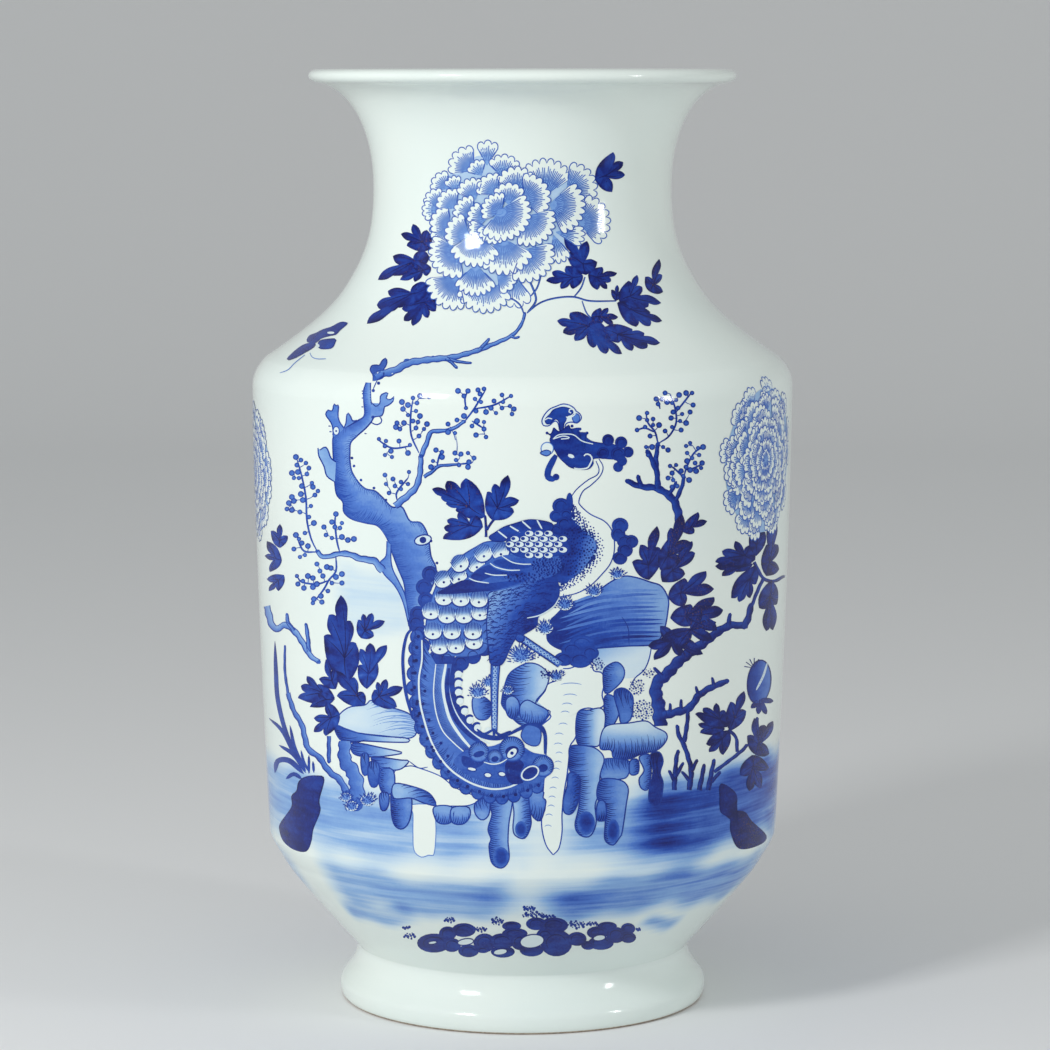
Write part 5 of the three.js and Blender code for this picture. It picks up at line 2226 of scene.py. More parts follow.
    teeth: tuple = xy(
        458.5, 674, 458.5, 683, 458.6, 692, 460, 701, 464.6, 711, 470, 720, 477.5, 727.6, 488.3, 730.7,
    )
    scallops: tuple = xy(
        417, 637, 415.3, 648, 414.9, 661, 413.6, 673.5, 413, 688, 416, 702, 418, 714, 421, 727, 426, 739,
        432, 751, 439, 762, 447, 772, 456, 781, 466, 787, 478, 792, 490, 796, 502, 797, 514, 795, 526, 791,
        537, 786,
    )
    flap: tuple = xy(521, 735, 526, 743, 535, 746, 540, 742, 540, 729, 527, 725)
    heads: tuple = ((479, 752, 10.5, 6, 3), (512, 749, 13, 7, 5), (543, 766, 11, 5, 4), (495, 757, 8, 4, 3))
    mass: tuple = xy(
        454, 760, 470, 748, 492, 746, 512, 740, 532, 752, 548, 756, 552, 768, 540, 782, 520, 784, 496, 784,
        474, 778, 460, 770,
    )
    mass_fold: tuple = xy(506, 762, 516, 758, 524, 764, 520, 774, 524, 782, 512, 784, 506, 776)
    mass_heart: tuple = xy(462, 756, 472, 758, 484, 762, 476, 768, 464, 766)
    windows: tuple = ((472, 769, 5, 2), (488, 775, 4, 2.5), (502, 774, 4, 2.5))
    claws: tuple = (
        xy(494, 729, 484, 734, 477, 729), xy(494, 729, 500, 735, 511, 731), ((494, 729), (494, 737)),
    )

    def eye_feather(self, painting: Painting, x: float, y: float, tilt: float, level: float) -> None:
        """A feather with an eye: lines fan down to a white oval with a dot, inside a dark U.

        Args:
            painting: Where it is drawn.
            x: The eye's place across.
            y: The eye's place down.
            tilt: Its turn in degrees.
            level: Its order.
        """
        a = math.radians(tilt)
        across, down = np.array([math.cos(a), math.sin(a)]), np.array([-math.sin(a), math.cos(a)])
        turn = np.linspace(0, 2 * math.pi, 17)[:-1]
        outline = np.array([x, y]) + 9.2 * np.cos(turn)[:, None] * across
        outline = outline + (np.sin(turn) * np.where(np.sin(turn) > 0, 7, 11))[:, None] * down
        painting.patch(outline,
                       lambda points, share: 0.04 + 0.4 * smooth(-((points - (x, y)) @ down), 0.0, 7.0),
                       level, 0.0, 1.0, (x, y), 2.2)
        cup = np.linspace(-0.25, math.pi + 0.25, 11)
        rim = np.array([x, y]) + 9.0 * np.cos(cup)[:, None] * across + 6.8 * np.sin(cup)[:, None] * down
        painting.line(rim, 1.5, 0.8, level + 0.9, 0.3, 2.0)
        spread = np.linspace(-1, 1, 11)
        tops = np.array([x, y]) + 7.6 * spread[:, None] * across - (10.8 - 3 * spread**2)[:, None] * down
        feet = np.array([x, y]) + 6.6 * spread[:, None] * across + (3.4 * spread[:, None] ** 2 - 2.2) * down
        painting.lash(tops, feet, 1.1, 0.78, level + 0.8)
        painting.blobs([(x, y + 1.2)], 1.3, 0.88, level + 1.1, 8)

    def paint_body(self, painting: Painting) -> None:
        """Draws neck, breast, back and thigh.

        Args:
            painting: Where it is drawn.
        """
        painting.between(self.nape, self.breast, 0.0, 12, 2.6)
        painting.line(self.breast, 1.2, 0.76, 14, 0.2, 2.2)
        painting.line(self.nape[:6], 1.1, 0.76, 14, 0.2, 2.2)
        painting.between(self.speckle_in, self.speckle_out,
                         lambda along, across: 0.5 * (1 - smooth(across, 0.0, 0.8)), 13, 2.4)
        inner, outer = even(flowing(self.nape[6:]), 64), even(flowing(self.breast[6:]), 64)
        number = np.arange(250)
        place = (number * 0.618) % 1
        reach = ((number * 0.377) % 1) ** 1.4 * 0.52 + 0.02
        row = (place * 63).astype(int)
        spots = inner[row] * (1 - reach[:, None]) + outer[row] * reach[:, None]
        painting.blobs(spots, 1.3 - reach, 0.82, 14.5, 7)
        painting.patch(self.breast_dark, graded((574, 540), 0.82, (594, 546), 0.5), 15, 0, 1, (570, 552), 2.6)
        speckles(painting, ((576, 552, 19, 26, 190), (562, 515, 9, 16, 60)), 16.5, 0.92, 0.9)
        painting.between(self.back, self.belly, 0.56, 16, 2.8)
        painting.line(self.back, 1.3, 0.76, 17, 0.2)
        middle = np.array((516.0, 612.0))
        shade = graded((488, 588), 0.34, (538, 616), 0.84)
        edge = painting.patch(self.thigh, shade, 37, 0.84, 1.2, middle, 2.6)
        number = np.arange(240)
        reach = (0.1 + 0.84 * np.sqrt(number * 0.618 % 1))[:, None]
        starts = middle + (edge[number * 37 % len(edge)] - middle) * reach
        strokes = np.column_stack([-5.5 - 1.5 * np.sin(number), 2.2 + 1.6 * np.sin(number * 1.7)])
        painting.lash(starts, starts + strokes, 1.2, 0.9, 38, 0.2)
        painting.line(((527, 618), (540, 615), (553, 607), (559, 598)), 1.2, 0.1, 39, 0.4)
        down, over = np.divmod(np.arange(24), 6)
        dots = np.column_stack([534 + 4.4 * over + 2 * (down % 2), 561 + 3.6 * down])
        painting.blobs(dots, 1.0, 0.76, 17.5, 7)

    def paint_wing(self, painting: Painting) -> None:
        """Draws the eyed feathers, the long feathers, the scaled patch and the dark feathers over it.

        Args:
            painting: Where it is drawn.
        """
        clouds(painting, np.column_stack([self.tufts, np.full((len(self.tufts), 2), 8.2)]), 0.76, 10)
        for number, (x, y, tilt) in enumerate(self.eyes):
            self.eye_feather(painting, x, y, tilt, 18 + number * 1.1)
        painting.patch(self.wing_dark, 0.66, 39, 0, 1, (515, 570), 2.6)
        speckles(painting, ((548, 566, 17, 9, 110), (526, 578, 22, 5, 60)), 43, 0.9, 0.9)
        for number, (outline, heart) in enumerate(zip(self.long_feathers, self.long_hearts)):
            painting.patch(outline, graded((455, 575), 0.9, (535, 575), 0.72), 40 + number, 0, 1, heart, 2.2)
        for path in self.light_lines:
            painting.line(path, 1.1, OFF_WHITE, 44, 0.3)
        painting.patch(self.crown, 0.8, 44, 0.88, 1.1, (524, 527), 2.4)
        for one, other in self.crown_gaps:
            painting.line((one, other), 1.6, OFF_WHITE, 45.5, 0.3)
        painting.patch(self.scales_out, 0.76, 45, 0.8, 1.2, (538, 544), 2.4)
        rows = [(510 + 9.6 * c + 4.8 * (r % 2), 533.5 + 5.4 * r) for r in range(5) for c in range(7)]
        spots = np.array([(x, y) for x, y in rows if ((x - 538) / 29) ** 2 + ((y - 544) / 12.6) ** 2 < 1])
        painting.blobs(spots, np.full((len(spots), 2), (4.2, 2.9)), WHITE, 46.5, 12)
        painting.blobs(spots - (1.5, 0.5), np.full((len(spots), 2), (2.1, 1.7)), 0.8, 47.5, 10)

    def paint_head(self, painting: Painting) -> None:
        """Draws the tufts, beak, cap, comb, crest and wattle.

        Args:
            painting: Where it is drawn.
        """
        clouds(painting, np.asarray(self.nape_tuft) * (1, 1, 1.1, 1.1), 0.78, 17)
        clouds(painting, np.asarray(self.breast_tuft) * (1, 1, 1.12, 1.12), 0.78, 11)
        painting.patch(self.crest, WHITE, 13, 0.74, 1.2, (562, 415), 2.0)
        painting.patch(self.crest_heart, 0.78, 14, 0.9, 1.0, (562, 415), 2.0)
        painting.patch(ring(576, 418, 3.8, 4.6), 0.52, 14.5, 0.74, 1.0)
        painting.line(self.crest_curl, 1.3, WHITE, 15.5, 0.2)
        painting.line(((545, 420), (548, 418), (552, 419)), 1.1, WHITE, 15.5, 0.2)
        painting.blobs(self.spikes, 1.5, 0.84, 15, 8)
        painting.patch(self.cap, 0.80, 16, 0.88, 1.0, (584, 450), 2.0)
        clouds(painting, self.curls, 0.86, 17)
        painting.blobs([(547.2, 448.5)], 6.7, lambda share: 0.03 + 0.72 * smooth(share, 0.8, 0.94), 19, 18)
        painting.patch(self.bill, 0.45, 20, 0.8, 1.0)
        for path in self.cap_lines:
            painting.line(path, 1.1, OFF_WHITE, 22, 0.2)
        painting.line(self.ear, 1.5, WHITE, 22, 0.2)
        painting.patch(ring(571, 456, 3.6, 1.9, 20), WHITE, 22)
        painting.line(self.wattle, 6.4, 0.76, 18, 0.45)
        painting.blobs([(556, 477)], 3.4, 0.84, 18.5)

    def paint_tail(self, painting: Painting) -> None:
        """Draws the sweeping tail: nested bands with white lines, dots, teeth and cloud ends.

        Args:
            painting: Where it is drawn.
        """
        painting.blobs(self.scallops, [(7.0, 7.8)] * len(self.scallops),
                       lambda share: 0.66 + 0.22 * smooth(share, 0.8, 0.96), 16, 16, 0.02)
        painting.between(np.asarray(self.tail_edge) + (4, -1.5), self.tail_white, 0.66, 17.5, 2.8)
        painting.between(self.tail_white, self.tail_middle, 0.56, 20, 2.8)
        painting.between(self.tail_middle[:7], self.tail_stripe, 0.46, 21, 2.6)
        for one, other, count in (
            (self.tail_edge, self.tail_white, 150),
            (self.tail_white, self.tail_middle, 120),
        ):
            starts, ends = even(flowing(one), count), even(flowing(other), count)
            reach = 0.45 + 0.25 * np.sin(np.arange(count) * 1.3)[:, None]
            painting.lash(starts + (0.6, 0), starts + (ends - starts) * reach, 1.0, 0.8, 21.6, 0.1)
        fine = even(flowing(self.tail_middle[:8]), 76)
        painting.lash(fine, even(flowing(self.tail_stripe), 76) - (1.2, 0), 0.8, 0.74, 22)
        painting.between(self.tail_stripe, self.tail_inner[:6], 0.6, 21.5, 2.6)
        painting.line(self.quill, 3.2, 0.76, 22, 0.4)
        painting.blobs(np.asarray(self.scallops) + (1.6, -0.6), 1.8, 0.94, 25, 8)
        for path, width in ((self.tail_white, 1.9), (self.tail_middle[:8], 1.2), (self.tail_stripe, 3.0)):
            painting.line(path, width, WHITE, 24, 0.3)
        painting.line(self.dark_band, 4.6, 0.84, 24.5, 0.5)
        painting.line(np.asarray(self.dark_band) + (3.4, -1.6), 1.7, OFF_WHITE, 25, 0.3)
        painting.line(self.tail_inner, 5.4, 0.82, 26, 0.3)
        painting.line(self.comb_end, 3.8, 0.82, 26, 0.5)
        painting.blobs(self.teeth, 3.7, WHITE, 27, 14)
        turn = np.linspace(-3.3, -0.35, 8)
        for number, (x, y) in enumerate(self.teeth[:-1]):
            lean = 0.1 * number
            hook = np.column_stack([x + 4.6 * np.cos(turn - lean), y + 4.6 * np.sin(turn - lean)])
            painting.line(hook, 2.6, 0.84, 28, 0.5, 1.6)
        painting.blobs(self.tail_dots, 1.7, 0.9, 25, 8)

    def paint_ends(self, painting: Painting) -> None:
        """Draws the cloud ends of the tail and the two legs.

        Args:
            painting: Where it is drawn.
        """
        painting.patch(self.mass, 0.66, 28, 0, 1.2, (505, 764))
        painting.patch(self.mass_fold, 0.86, 28.6)
        painting.patch(self.mass_heart, 0.84, 28.6)
        painting.line(((484, 762), (492, 764), (500, 763), (507, 759)), 1.2, OFF_WHITE, 36, 0.4)
        painting.patch(self.flap, 0.56, 29, 0.8, 1.1)
        for number, (x, y, size, wide, high) in enumerate(self.heads):
            level = 30 + number * 1.4
            painting.blobs([(x, y)], size, lambda share: 0.5 + 0.34 * smooth(share, 0.8, 0.94), level, 22)
            rays(painting, (x, y), size * 0.55, size * 0.96, (-3.6, 0.6), 22, level + 0.6, 0.92)
            painting.patch(ring(x, y + 2, wide, high, -15), 0.86, level + 1)
        painting.patch(ring(512, 753, 6.5, 4, -45), WHITE, 38, 0.84)
        painting.blobs([(512, 753)], 1.8, 0.85, 39.5)
        painting.patch(ring(530, 773, 10.5, 7.4, -30), WHITE, 38, 0.7)
        painting.patch(ring(530, 773, 8.4, 5.4, -30), 0.86, 39)
        for x, y, wide, high in self.windows:
            painting.patch(ring(x, y, wide, high, 10), WHITE, 38, 0.8)
        for one, other in ((((491, 662), (491, 690), (492, 730)), ((500, 663), (498, 690), (497, 731))),
                           (((518, 640), (536, 652), (558, 667)), ((523, 635), (542, 648), (563, 662)))):
            wash(painting, one, other, 0.62, 0.56, 28, 0.84, 1.2, 2.4)
            middle = (flowing(one, 4.3) + even(flowing(other, 4.3), len(flowing(one, 4.3)))) / 2
            painting.blobs(middle[1:-1], 2.0, 0.26, 29.5, 10)
            painting.blobs(middle[1:-1] + (0.3, 0.2), 0.9, 0.72, 30, 7)
        painting.patch(ring(520, 638, 4.5, 4, 20), 0.7, 40, 0.85)
        for claw in self.claws:
            painting.line(claw, 2.8, 0.82, 29)

    def paint(self, painting: Painting) -> None:
        """Draws the whole bird.

        Args:
            painting: Where it is drawn.
        """
        self.paint_tail(painting)
        self.paint_ends(painting)
        self.paint_body(painting)
        self.paint_wing(painting)
        self.paint_head(painting)


@dataclass(frozen=True)
class GardenPlants:
    """Leaves, grasses, stems and a bud round the rocks, in picture pixels.

    A leaf's row holds its base and its tips, a branch's its path, its first and last width and, on
    the left, its cobalt, and a blade's its path and width.
    """

    left_leaves: tuple = (
        ((348, 684), xy(324, 636, 329, 615, 341, 595, 351, 621, 356, 643)),
        ((361, 638), xy(358, 620, 363, 614, 372, 613, 385, 621, 374, 636)),
        ((367, 689), xy(358, 666, 360, 649, 370, 643, 387, 645, 378, 664)),
        ((373, 702), xy(374, 690, 377, 682, 386, 679, 403, 687, 397, 707)),
        ((365, 705), xy(337, 696, 336, 671, 354, 677, 363, 692)),
        ((336, 689), xy(319, 679, 326, 659, 335, 670)),
        ((335, 698), xy(298, 698, 301, 686, 307, 676, 319, 684)), ((335, 699), ((310, 707), (318, 693))),
        ((340, 714), xy(326, 703, 314, 718, 314, 732, 326, 736)),
        ((485, 517), xy(466, 478, 447, 481, 432, 489, 441, 498, 446, 504, 456, 511)),
        ((483, 527), xy(443, 539, 444, 528, 447, 520, 458, 513, 475, 515)),
        ((492, 520), xy(487, 492, 494, 484, 508, 475, 519, 500, 514, 512)),
        ((282, 560), xy(267, 541, 265, 556, 270, 572)), ((284, 575), xy(267, 579, 269, 591, 279, 591)),
        ((280, 548), xy(271, 531, 280, 524, 288, 536)),
    )
    right_leaves: tuple = (
        ((649, 580), xy(632, 562, 640, 545, 657, 526, 660, 548)),
        ((660, 570), xy(667, 540, 670, 528, 682, 514, 692, 543, 680, 560)),
        ((683, 532), xy(698, 512, 707, 521, 694, 533)),
        ((662, 582), xy(672, 552, 692, 541, 695, 553, 685, 574)),
        ((668, 598), xy(684, 578, 706, 571, 714, 589, 684, 606)),
        ((670, 618), xy(690, 604, 714, 597, 723, 610, 717, 630, 690, 626)),
        ((676, 636), xy(660, 626, 648, 646, 654, 660, 680, 656, 703, 654)),
        ((690, 628), xy(660, 640, 676, 650, 712, 640, 716, 622, 700, 608)),
        ((755, 560), xy(715, 562, 722, 551, 735, 541, 750, 545)),
        ((753, 564), xy(715, 566, 722, 576, 736, 572)),
        ((755, 565), xy(731, 598, 739, 602, 750, 598, 756, 584)),
        ((756, 556), xy(749, 537, 758, 521, 765, 532)),
        ((766, 576), xy(766, 545, 773, 517, 778, 545, 779, 569)),
        ((771, 580), xy(759, 608, 766, 631, 773, 630, 777, 604)),
        ((727, 727), xy(695, 714, 703, 708, 716, 703, 724, 710)),
        ((725, 729), xy(700, 733, 698, 724, 708, 720)), ((729, 730), xy(706, 744, 709, 752, 723, 755)),
        ((730, 731), xy(730, 702, 744, 691, 746, 711)),
        ((756, 755), xy(747, 736, 754, 718, 764, 725, 773, 721, 769, 754)),
        ((752, 755), xy(740, 775, 749, 791, 761, 788, 769, 768)),
    )
    left_branches: tuple = (
        (xy(267, 606, 271, 622, 276, 629, 286, 625, 297, 634, 304, 645, 310, 655, 319, 662), 6, 4, 0.42),
        (xy(294, 631, 288, 622, 287, 614), 3.4, 2.2, 0.5),
        (xy(309, 652, 308, 638, 306, 624), 3.6, 2.4, 0.5),
        (xy(288, 693, 294, 711, 302, 725, 308, 748, 319, 757, 329, 771, 340, 780, 347, 793), 3.6, 6, 0.54),
        (xy(345, 741, 345, 760, 353, 772, 357, 786, 356, 804), 11, 15, 0.54),
        (xy(288, 693, 285, 671, 285, 646), 1.8, 1.2, 0.6),
        (xy(329, 736, 329, 748, 329, 762), 3.0, 3.0, 0.6),
    )
    right_branches: tuple = (
        (xy(660, 726, 659, 708, 656, 694, 657, 683, 668, 673, 680, 660, 698, 647, 712, 636, 722, 629,
            732, 625, 745, 626), 13, 6), (xy(744, 627, 748, 618, 751, 605), 6, 4.6),
        (xy(663, 716, 676, 712, 685, 710, 692, 705, 698, 696, 708, 689, 717, 685, 727, 681), 7.5, 4.6),
        (((670, 712), (670, 704)), 3, 1.6), (((681, 709), (681, 700)), 3, 1.6),
        (((698, 695), (696, 687)), 3, 1.6), (((714, 686), (712, 678)), 3, 1.6),
        (((728, 626), (730, 614)), 4, 2.4), (((662, 676), (654, 668)), 3.4, 1.8),
        (((684, 656), (680, 648)), 3.2, 1.8), (((702, 643), (700, 634)), 3.2, 1.8),
        (((757, 755), (757, 718)), 2.6, 2.2), (xy(737, 752, 736, 738, 729, 730), 2.6, 2.0),
        (xy(714, 772, 739, 753, 747, 745), 2.6, 2.4),
        (xy(754, 562, 763, 578, 774, 581, 784, 576), 2.4, 2.0),
        (xy(763, 579, 757, 592, 752, 605), 2.4, 2.4),
        (xy(689, 790, 691, 770, 685, 748, 679, 736, 677, 726), 4.5, 3),
        (xy(684, 742, 687, 724, 688, 710), 3.6, 2.8), (xy(674, 790, 676, 761, 678, 751), 4, 3),
        (((674, 780), (669, 771)), 3, 2), (((676, 776), (683, 763)), 3, 2),
        (xy(699, 790, 702, 776, 704, 765), 4, 2.8), (xy(708, 790, 711, 774, 714, 760), 4, 2.8),
        (((692, 770), (697, 760)), 3, 2), (((711, 782), (720, 772)), 3, 2),
        (((689, 780), (682, 772)), 3, 2), (xy(486, 537, 486, 527, 485, 516), 1.8, 1.4),
        (xy(487, 530, 491, 523, 497, 517), 1.6, 1.2),
    )
    blades: tuple = (
        (xy(275, 641, 276, 671, 278, 700, 286, 732, 299, 761), 4.4),
        (xy(269, 718, 283, 732, 297, 761), 3.6), (xy(279, 745, 294, 755, 306, 773), 4.0),
        (xy(290, 725, 295, 748, 306, 771), 3.4), (xy(275, 773, 278, 761, 290, 761, 304, 774), 5.4),
        (xy(286, 779, 294, 774, 302, 779), 4.0), (xy(301, 750, 304, 762, 310, 773), 2.6),
        (((309, 755), (309, 774)), 2.6), (((313, 761), (314, 773)), 2.6),
    )
    rock: tuple = xy(
        306, 777, 299, 782, 297, 791, 292, 796, 292, 807, 281, 823, 280, 830, 284, 841, 294, 849, 306, 851,
        311, 841, 313, 829, 320, 811, 319, 800, 324, 779, 317, 776,
    )
    mound: tuple = xy(
        721, 784, 735, 793, 736, 805, 730, 811, 744, 812, 751, 821, 766, 836, 758, 845, 739, 848, 731, 832,
        730, 818, 721, 812, 720, 798,
    )
    bud: tuple = (759, 682)
    sepals: tuple = xy(751, 708, 758, 714, 766, 714, 773, 701)

    def paint(self, painting: Painting) -> None:
        """Draws branches, blades, the dark rocks, the leaves and the bud.

        Args:
            painting: Where it is drawn.
        """
        for number, (points, start, end, tone) in enumerate(self.left_branches):
            limb(painting, points, start, end, tone, 9 + number * 0.2, 0.78)
        for number, (points, start, end) in enumerate(self.right_branches):
            limb(painting, points, start, end, 0.84, 9 + number * 0.1, 0.92)
        for points, width in self.blades:
            painting.line(points, width, 0.78, 9, 0.95)
        painting.patch(self.rock, graded((290, 780), 0.86, (300, 850), 0.93), 10, 0.95, 1.2, (304, 815))
        painting.patch(self.mound, 0.95, 10, 0.97, 1.2, (738, 826))
        for leaves, tone in ((self.left_leaves, 0.84), (self.right_leaves, 0.94)):
            for number, (base, tips) in enumerate(leaves):
                leaf(painting, base, tips, 14 + number % 3, tone)
        x, y = self.bud
        painting.patch(ring(x, y, 11.6, 22, 6), graded((x - 12, y), 0.86, (x + 12, y), 0.5), 15, 0.92, 1.3)
        painting.line(((x + 8, y - 19), (x + 4, y - 6), (x - 3, y + 8)), 2.2, 0.1, 16.5)
        rays(painting, (x - 5, y - 14), 0, 10, (3.3, 5.2), 5, 16, 0.9)
        for tip in self.sepals:
            painting.line(((760, 700), tip), 5.5, 0.9, 17, 0.7)


@dataclass(frozen=True)
class CloudBand:
    """The band of clouded rocks on the sloping base, in picture pixels.

    Each row holds a place, half width and half height, and a tuft's row ends with its number of specks.
    """

    heads: tuple = (
        (463.8, 930, 12, 7), (447.8, 933.3, 8.8, 7), (434, 943, 17, 9.6), (452, 945, 9, 7),
        (468.6, 950.8, 10.4, 6.4), (484.5, 942.8, 11, 9.5), (482.9, 950, 6.4, 3), (511.6, 926, 9.6, 4.8),
        (514.8, 933.3, 12.8, 5.4), (502, 941.2, 12.8, 8), (502.8, 951.6, 12, 6), (520, 942, 9, 8),
        (536.3, 923.7, 10.4, 6.4), (553.9, 925.3, 14.3, 8), (531.5, 950, 12, 6.4), (545, 936, 9, 8),
        (556.3, 942.8, 16, 13.5), (577, 938.8, 9.6, 7), (588.1, 945.2, 7, 4.5), (607.3, 926.1, 9.6, 4.5),
        (597.7, 932.5, 11, 6.4), (600.9, 942.8, 12.8, 7), (628, 928.5, 7.2, 5.6), (616, 934.9, 9.6, 8),
        (628, 937.3, 8, 5.6),
    )
    holes: tuple = (
        (432.7, 942.4, 4.8, 1.6), (465.7, 941.7, 8.3, 3.2), (532, 941, 12, 6.6), (599.3, 937.6, 6.4, 2.9),
        (500.4, 951.6, 7.2, 3),
    )
    tufts: tuple = (
        (449.4, 919.7, 5.6, 2.9, 12), (497.3, 921.3, 6.4, 4, 16), (529.1, 908.6, 6, 3.2, 14),
        (533.9, 914.9, 13, 2.9, 24), (549, 916.5, 6.4, 2, 10), (479.7, 929.3, 7, 2.9, 14),
        (577, 924.5, 9.6, 4, 22), (592.1, 923.7, 5.6, 2.4, 10), (406.4, 927.7, 4, 1.6, 7),
        (409.6, 935.7, 6.4, 3.2, 12), (639, 929.3, 2.4, 1.6, 5),
    )

    def paint(self, painting: Painting) -> None:
        """Draws the heads, the holes between them and the speckled tufts on top.

        Args:
            painting: Where it is drawn.
        """
        clouds(painting, self.heads, 0.86, 2)
        for number, (x, y, wide, high) in enumerate(self.holes):
            painting.patch(ring(x, y, wide, high, -8), 0.05, 16 + number, 0.9, 1.1)
        speckles(painting, self.tufts, 4, 0.8, 1.3)


@dataclass(frozen=True)
class RolledSpray:
    """A peony spray for the sides and the back, drawn flat with the peony's heart at the origin."""

    leaves: tuple = (
        ((-20, 66), xy(-62, 60, -76, 84, -54, 96, -36, 90)),
        ((0, 74), xy(-16, 106, 2, 118, 18, 104, 12, 86)), ((22, 66), xy(40, 92, 62, 96, 72, 78, 52, 62)),
        ((54, 46), xy(74, 60, 96, 54, 90, 34, 70, 32)),
        ((-60, 30), xy(-88, 44, -104, 30, -92, 10, -74, 14)), ((52, -44), xy(66, -66, 86, -62, 82, -42)),
        ((-50, -42), xy(-62, -68, -84, -64, -78, -44)), ((-4, -66), xy(-18, -88, -2, -98, 14, -86)),
    )
    stems: tuple = (
        xy(0, 40, 8, 90, 4, 130, 12, 176, 20, 222), xy(6, 96, 34, 104, 60, 110),
        xy(4, 130, -24, 128, -50, 140),
    )
    twigs: tuple = (
        xy(-48, 139, -74, 138, -96, 110, -110, 60, -104, 10), xy(-110, 60, -130, 40, -140, 14),
        xy(-100, 100, -126, 92, -144, 78),
    )

    def paint(self, painting: Painting, reach: float, rings: int, whole: bool) -> None:
        """Draws the peony and, where the spray is whole, its stems, leaves and a berried twig.

        Args:
            painting: Where it is drawn.
            reach: The peony's radius in the drawing's pixels.
            rings: Number of rings of petals.
            whole: Whether the rest of the spray is drawn too.
        """
        full_peony(painting, (0, 0), reach, rings, 20)
        if not whole:
            return
        scale = reach / 70
        for number, points in enumerate(self.stems):
            path = np.asarray(points) * scale
            limb(painting, path, 5 - number, 3.6 - number * 0.6, 0.6, 4 + number * 0.4)
        for number, (base, tips) in enumerate(self.leaves):
            leaf(painting, np.asarray(base) * scale, np.asarray(tips) * scale, 10 + number % 3, 0.82)
        twigs = [np.asarray(twig) * scale for twig in self.twigs]
        for twig in twigs:
            painting.line(twig, 2.4, 0.7, 6, 0.5)
        path = np.vstack([flowing(twig, 9.0)[2:] for twig in twigs])
        sway = np.column_stack([np.sin(np.arange(len(path)) * 2.4), np.cos(np.arange(len(path)) * 1.7)])
        spots = np.vstack([path + sway * 8, path[::2] - sway[::2] * 11 - (0, 4)])
        berries(painting, spots, twigs, 8, 2.7, 0.6)


@dataclass(frozen=True)
class BackRocks:
    """Guessed stones and grasses at the foot of the back, drawn flat with the ground at zero height."""

    stones: tuple = (
        (Fade.RIGHT, 0.6, 0.16, xy(-60, -6, -66, -40, -52, -74, -30, -84, -10, -66, -12, -30, -20, -4)),
        (Fade.RIGHT, 0.66, 0.3, xy(-22, -2, -16, -34, 4, -52, 26, -44, 30, -18, 20, 0)),
        (Fade.LEFT, 0.64, 0.2, xy(24, 0, 30, -30, 48, -42, 66, -28, 70, -4)),
        (Fade.DOWN, 0.7, 0.5, xy(-84, 0, -88, -18, -72, -28, -56, -18, -56, 0)),
    )
    blades: tuple = (
        xy(90, 0, 96, -30, 112, -56), xy(84, 0, 84, -34, 92, -64), xy(-96, 0, -104, -30, -122, -50),
        xy(-100, 0, -98, -36, -108, -66),
    )

    def paint(self, painting: Painting) -> None:
        """Draws the stones, their moss and the blades of grass.

        Args:
            painting: Where it is drawn.
        """
        for number, (fade, dark, pale, corners) in enumerate(self.stones):
            stone(painting, fade, dark, pale, corners, 2 + number * 1.1)
        for centre in ((-32, -84), (4, -54), (50, -42)):
            moss(painting, centre, 12, 50, 9)
        for points in self.blades:
            painting.line(points, 4.4, 0.78, 3, 0.95)


# The studio


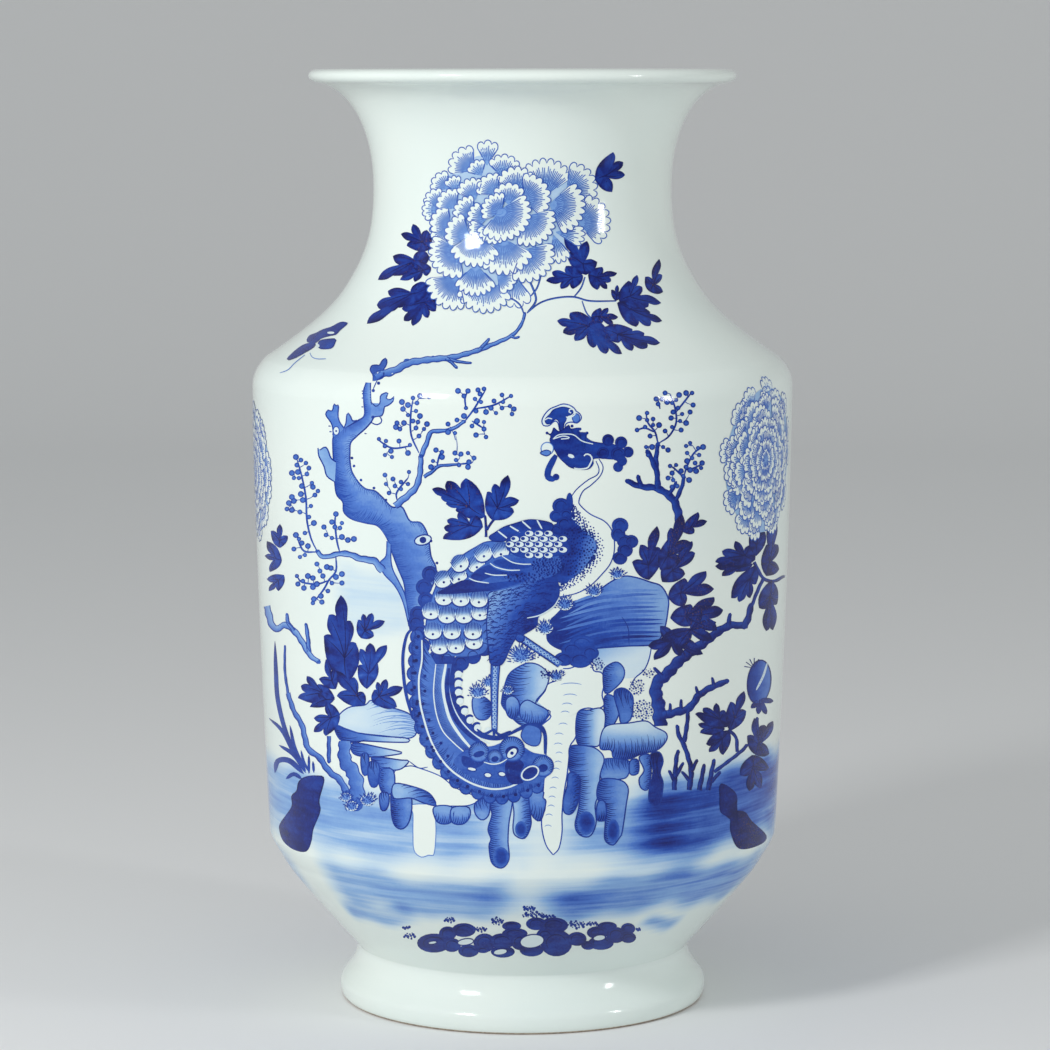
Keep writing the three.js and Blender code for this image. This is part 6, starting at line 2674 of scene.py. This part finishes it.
class Studio:
    """Pale sweep, soft lamps and the camera at the picture's viewpoint. Lengths are in metres."""

    aim_height = 0.25

    def __init__(self, view: PictureView) -> None:
        """Keeps the viewpoint.

        Args:
            view: The picture's viewpoint.
        """
        self.view = view

    def sweep(self) -> bpy.types.Object:
        """The floor, curving up into a backdrop behind the vase."""
        back, bend, top, side = 2.6, 1.2, 4.0, 7.0
        turn = np.linspace(0, math.pi / 2, 24)
        depth = np.concatenate([[-4.0], back + bend * np.sin(turn), [back + bend]])
        height = np.concatenate([[0.0], bend * (1 - np.cos(turn)), [top]])
        across = np.linspace(-side, side, 9)
        points = np.stack(np.broadcast_arrays(across[None], depth[:, None], height[:, None]), axis=-1)
        mesh = bpy.data.meshes.new("studio_sweep")
        mesh.from_pydata(points.reshape(-1, 3).tolist(), [], grid_faces(len(depth), len(across)).tolist())
        mesh.polygons.foreach_set("use_smooth", np.ones(len(mesh.polygons), bool))
        paper = bpy.data.materials.new("Sweep paper")
        paper.use_nodes = True
        shader = next(n for n in paper.node_tree.nodes if n.bl_idname == "ShaderNodeBsdfPrincipled")
        shader.inputs["Base Color"].default_value = (0.80, 0.81, 0.81, 1)
        shader.inputs["Roughness"].default_value = 0.75
        mesh.materials.append(paper)
        made = bpy.data.objects.new("studio_sweep", mesh)
        bpy.context.scene.collection.objects.link(made)
        return made

    def lamp(self, name: str, azimuth: float, elevation: float, distance: float, size: tuple, watts: float
             ) -> None:
        """A rectangular lamp aimed at the vase's middle.

        Args:
            name: The lamp's name.
            azimuth: Degrees from the front, positive to the right.
            elevation: Degrees above the vase's middle.
            distance: Metres from the vase's middle.
            size: Width and height in metres.
            watts: Power.
        """
        light = bpy.data.lights.new(name, "AREA")
        light.shape = "RECTANGLE"
        light.size, light.size_y = size
        light.energy = watts
        lamp = bpy.data.objects.new(name, light)
        a, e = math.radians(azimuth), math.radians(elevation)
        way = Vector((math.sin(a) * math.cos(e), -math.cos(a) * math.cos(e), math.sin(e)))
        lamp.location = Vector((0, 0, self.aim_height)) + way * distance
        lamp.rotation_mode = "QUATERNION"
        lamp.rotation_quaternion = way.to_track_quat("Z", "Y")
        bpy.context.scene.collection.objects.link(lamp)

    def build(self) -> None:
        """Makes the sweep, the lamps, the world and the camera."""
        self.sweep()
        self.lamp("key_lamp", -38, 26.5, 1.6, (0.27, 0.29), 11.5)
        self.lamp("strip_lamp", 61, 12.5, 1.7, (0.16, 0.36), 5)
        self.lamp("soft_box", -62, 16, 1.9, (1.5, 1.9), 4.5)
        world = bpy.data.worlds.new("Studio")
        world.use_nodes = True
        background = next(n for n in world.node_tree.nodes if n.bl_idname == "ShaderNodeBackground")
        background.inputs["Color"].default_value = (0.97, 0.99, 1.0, 1)
        background.inputs["Strength"].default_value = 0.5
        scene = bpy.context.scene
        scene.world = world
        scene.view_settings.view_transform = "Standard"
        camera = bpy.data.cameras.new("picture_camera")
        camera.sensor_width = 36
        camera.lens = camera.sensor_width * self.view.focal_pixels / self.view.frame
        camera.clip_start, camera.clip_end = 0.05, 50
        made = bpy.data.objects.new("picture_camera", camera)
        made.location = Vector(self.view.position * MM)
        made.rotation_euler = (math.radians(90 - self.view.pitch_degrees), 0, 0)
        scene.collection.objects.link(made)
        scene.camera = made


def drawn(name: str, *motifs: object) -> Painting:
    """A painting with some motifs drawn in it.

    Args:
        name: The piece's name.
        motifs: What is drawn, in order.

    Returns:
        The painting.
    """
    painting = Painting(name)
    for motif in motifs:
        motif.paint(painting)
    return painting


def main() -> None:
    """Builds the vase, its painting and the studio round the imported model."""
    logging.basicConfig(level=logging.INFO, format="%(name)s %(message)s")
    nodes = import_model()["nodes"]
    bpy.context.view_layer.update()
    view = PictureView()
    Studio(view).build()
    vase = Vase(VaseForm())
    cobalt = cobalt_group(CobaltShades())
    porcelain = GlazedPorcelain("Washed porcelain", mottle=0.25, washed=True).material(cobalt)
    foot = GlazedPorcelain("Foot porcelain", mottle=0.0, roughness=0.1, biscuit=True).material(cobalt)
    vase.build(porcelain, foot)
    slip = GlazedPorcelain("Glazed slip", mottle=0.0, roughness=0.22).material(cobalt)
    nodes["foot_slip_fillet"].material_slots[0].material = slip
    for seam in ("base", "middle", "shoulder", "neck"):
        nodes[f"{seam}_slip_bead"].material_slots[0].material = slip
    brushed = GlazedPorcelain("Brushed cobalt").material(cobalt)
    heaped = GlazedPorcelain("Heaped cobalt", rust=0.8).material(cobalt)
    seen = SeenChart(view, vase.surface)
    for name, motifs, paint in (
        ("neck_peony_painting", (NeckPeony(),), brushed),
        ("neck_spray_painting", (NeckSpray(), Moth()), heaped),
        ("prunus_painting", (Prunus(),), brushed),
        ("rocks_painting", (Rocks(),), brushed),
        ("phoenix_painting", (Phoenix(),), brushed),
        ("garden_painting", (GardenPlants(),), heaped),
        ("cloud_band_painting", (CloudBand(),), brushed),
    ):
        drawn(name, *motifs).build(seen, paint)
    drawn("back_neck_painting", NeckPeony(), NeckSpray()).build(
        RolledChart(vase.surface, 180, 389, NeckPeony().heart, mirror=-1), brushed)
    drawn("back_rocks_painting", BackRocks()).build(RolledChart(vase.surface, 172, 100), brushed)
    drawn("back_cloud_painting", CloudBand()).build(
        RolledChart(vase.surface, 180, 53, (530, 940), mirror=-1), brushed)
    for name, angle, height, reach, rings, whole in (
        ("right_peony_painting", 61, 266, 76, 7, False),
        ("left_peony_painting", -80, 257, 68, 6, False),
        ("back_peony_painting", 168, 238, 74, 6, True),
        ("back_left_spray_painting", 226, 216, 60, 5, True),
        ("back_right_spray_painting", 117, 210, 56, 4, True),
    ):
        drawing = Painting(name)
        RolledSpray().paint(drawing, reach, rings, whole)
        drawing.build(RolledChart(vase.surface, angle, height), brushed)


if __name__ == "__main__":
    main()
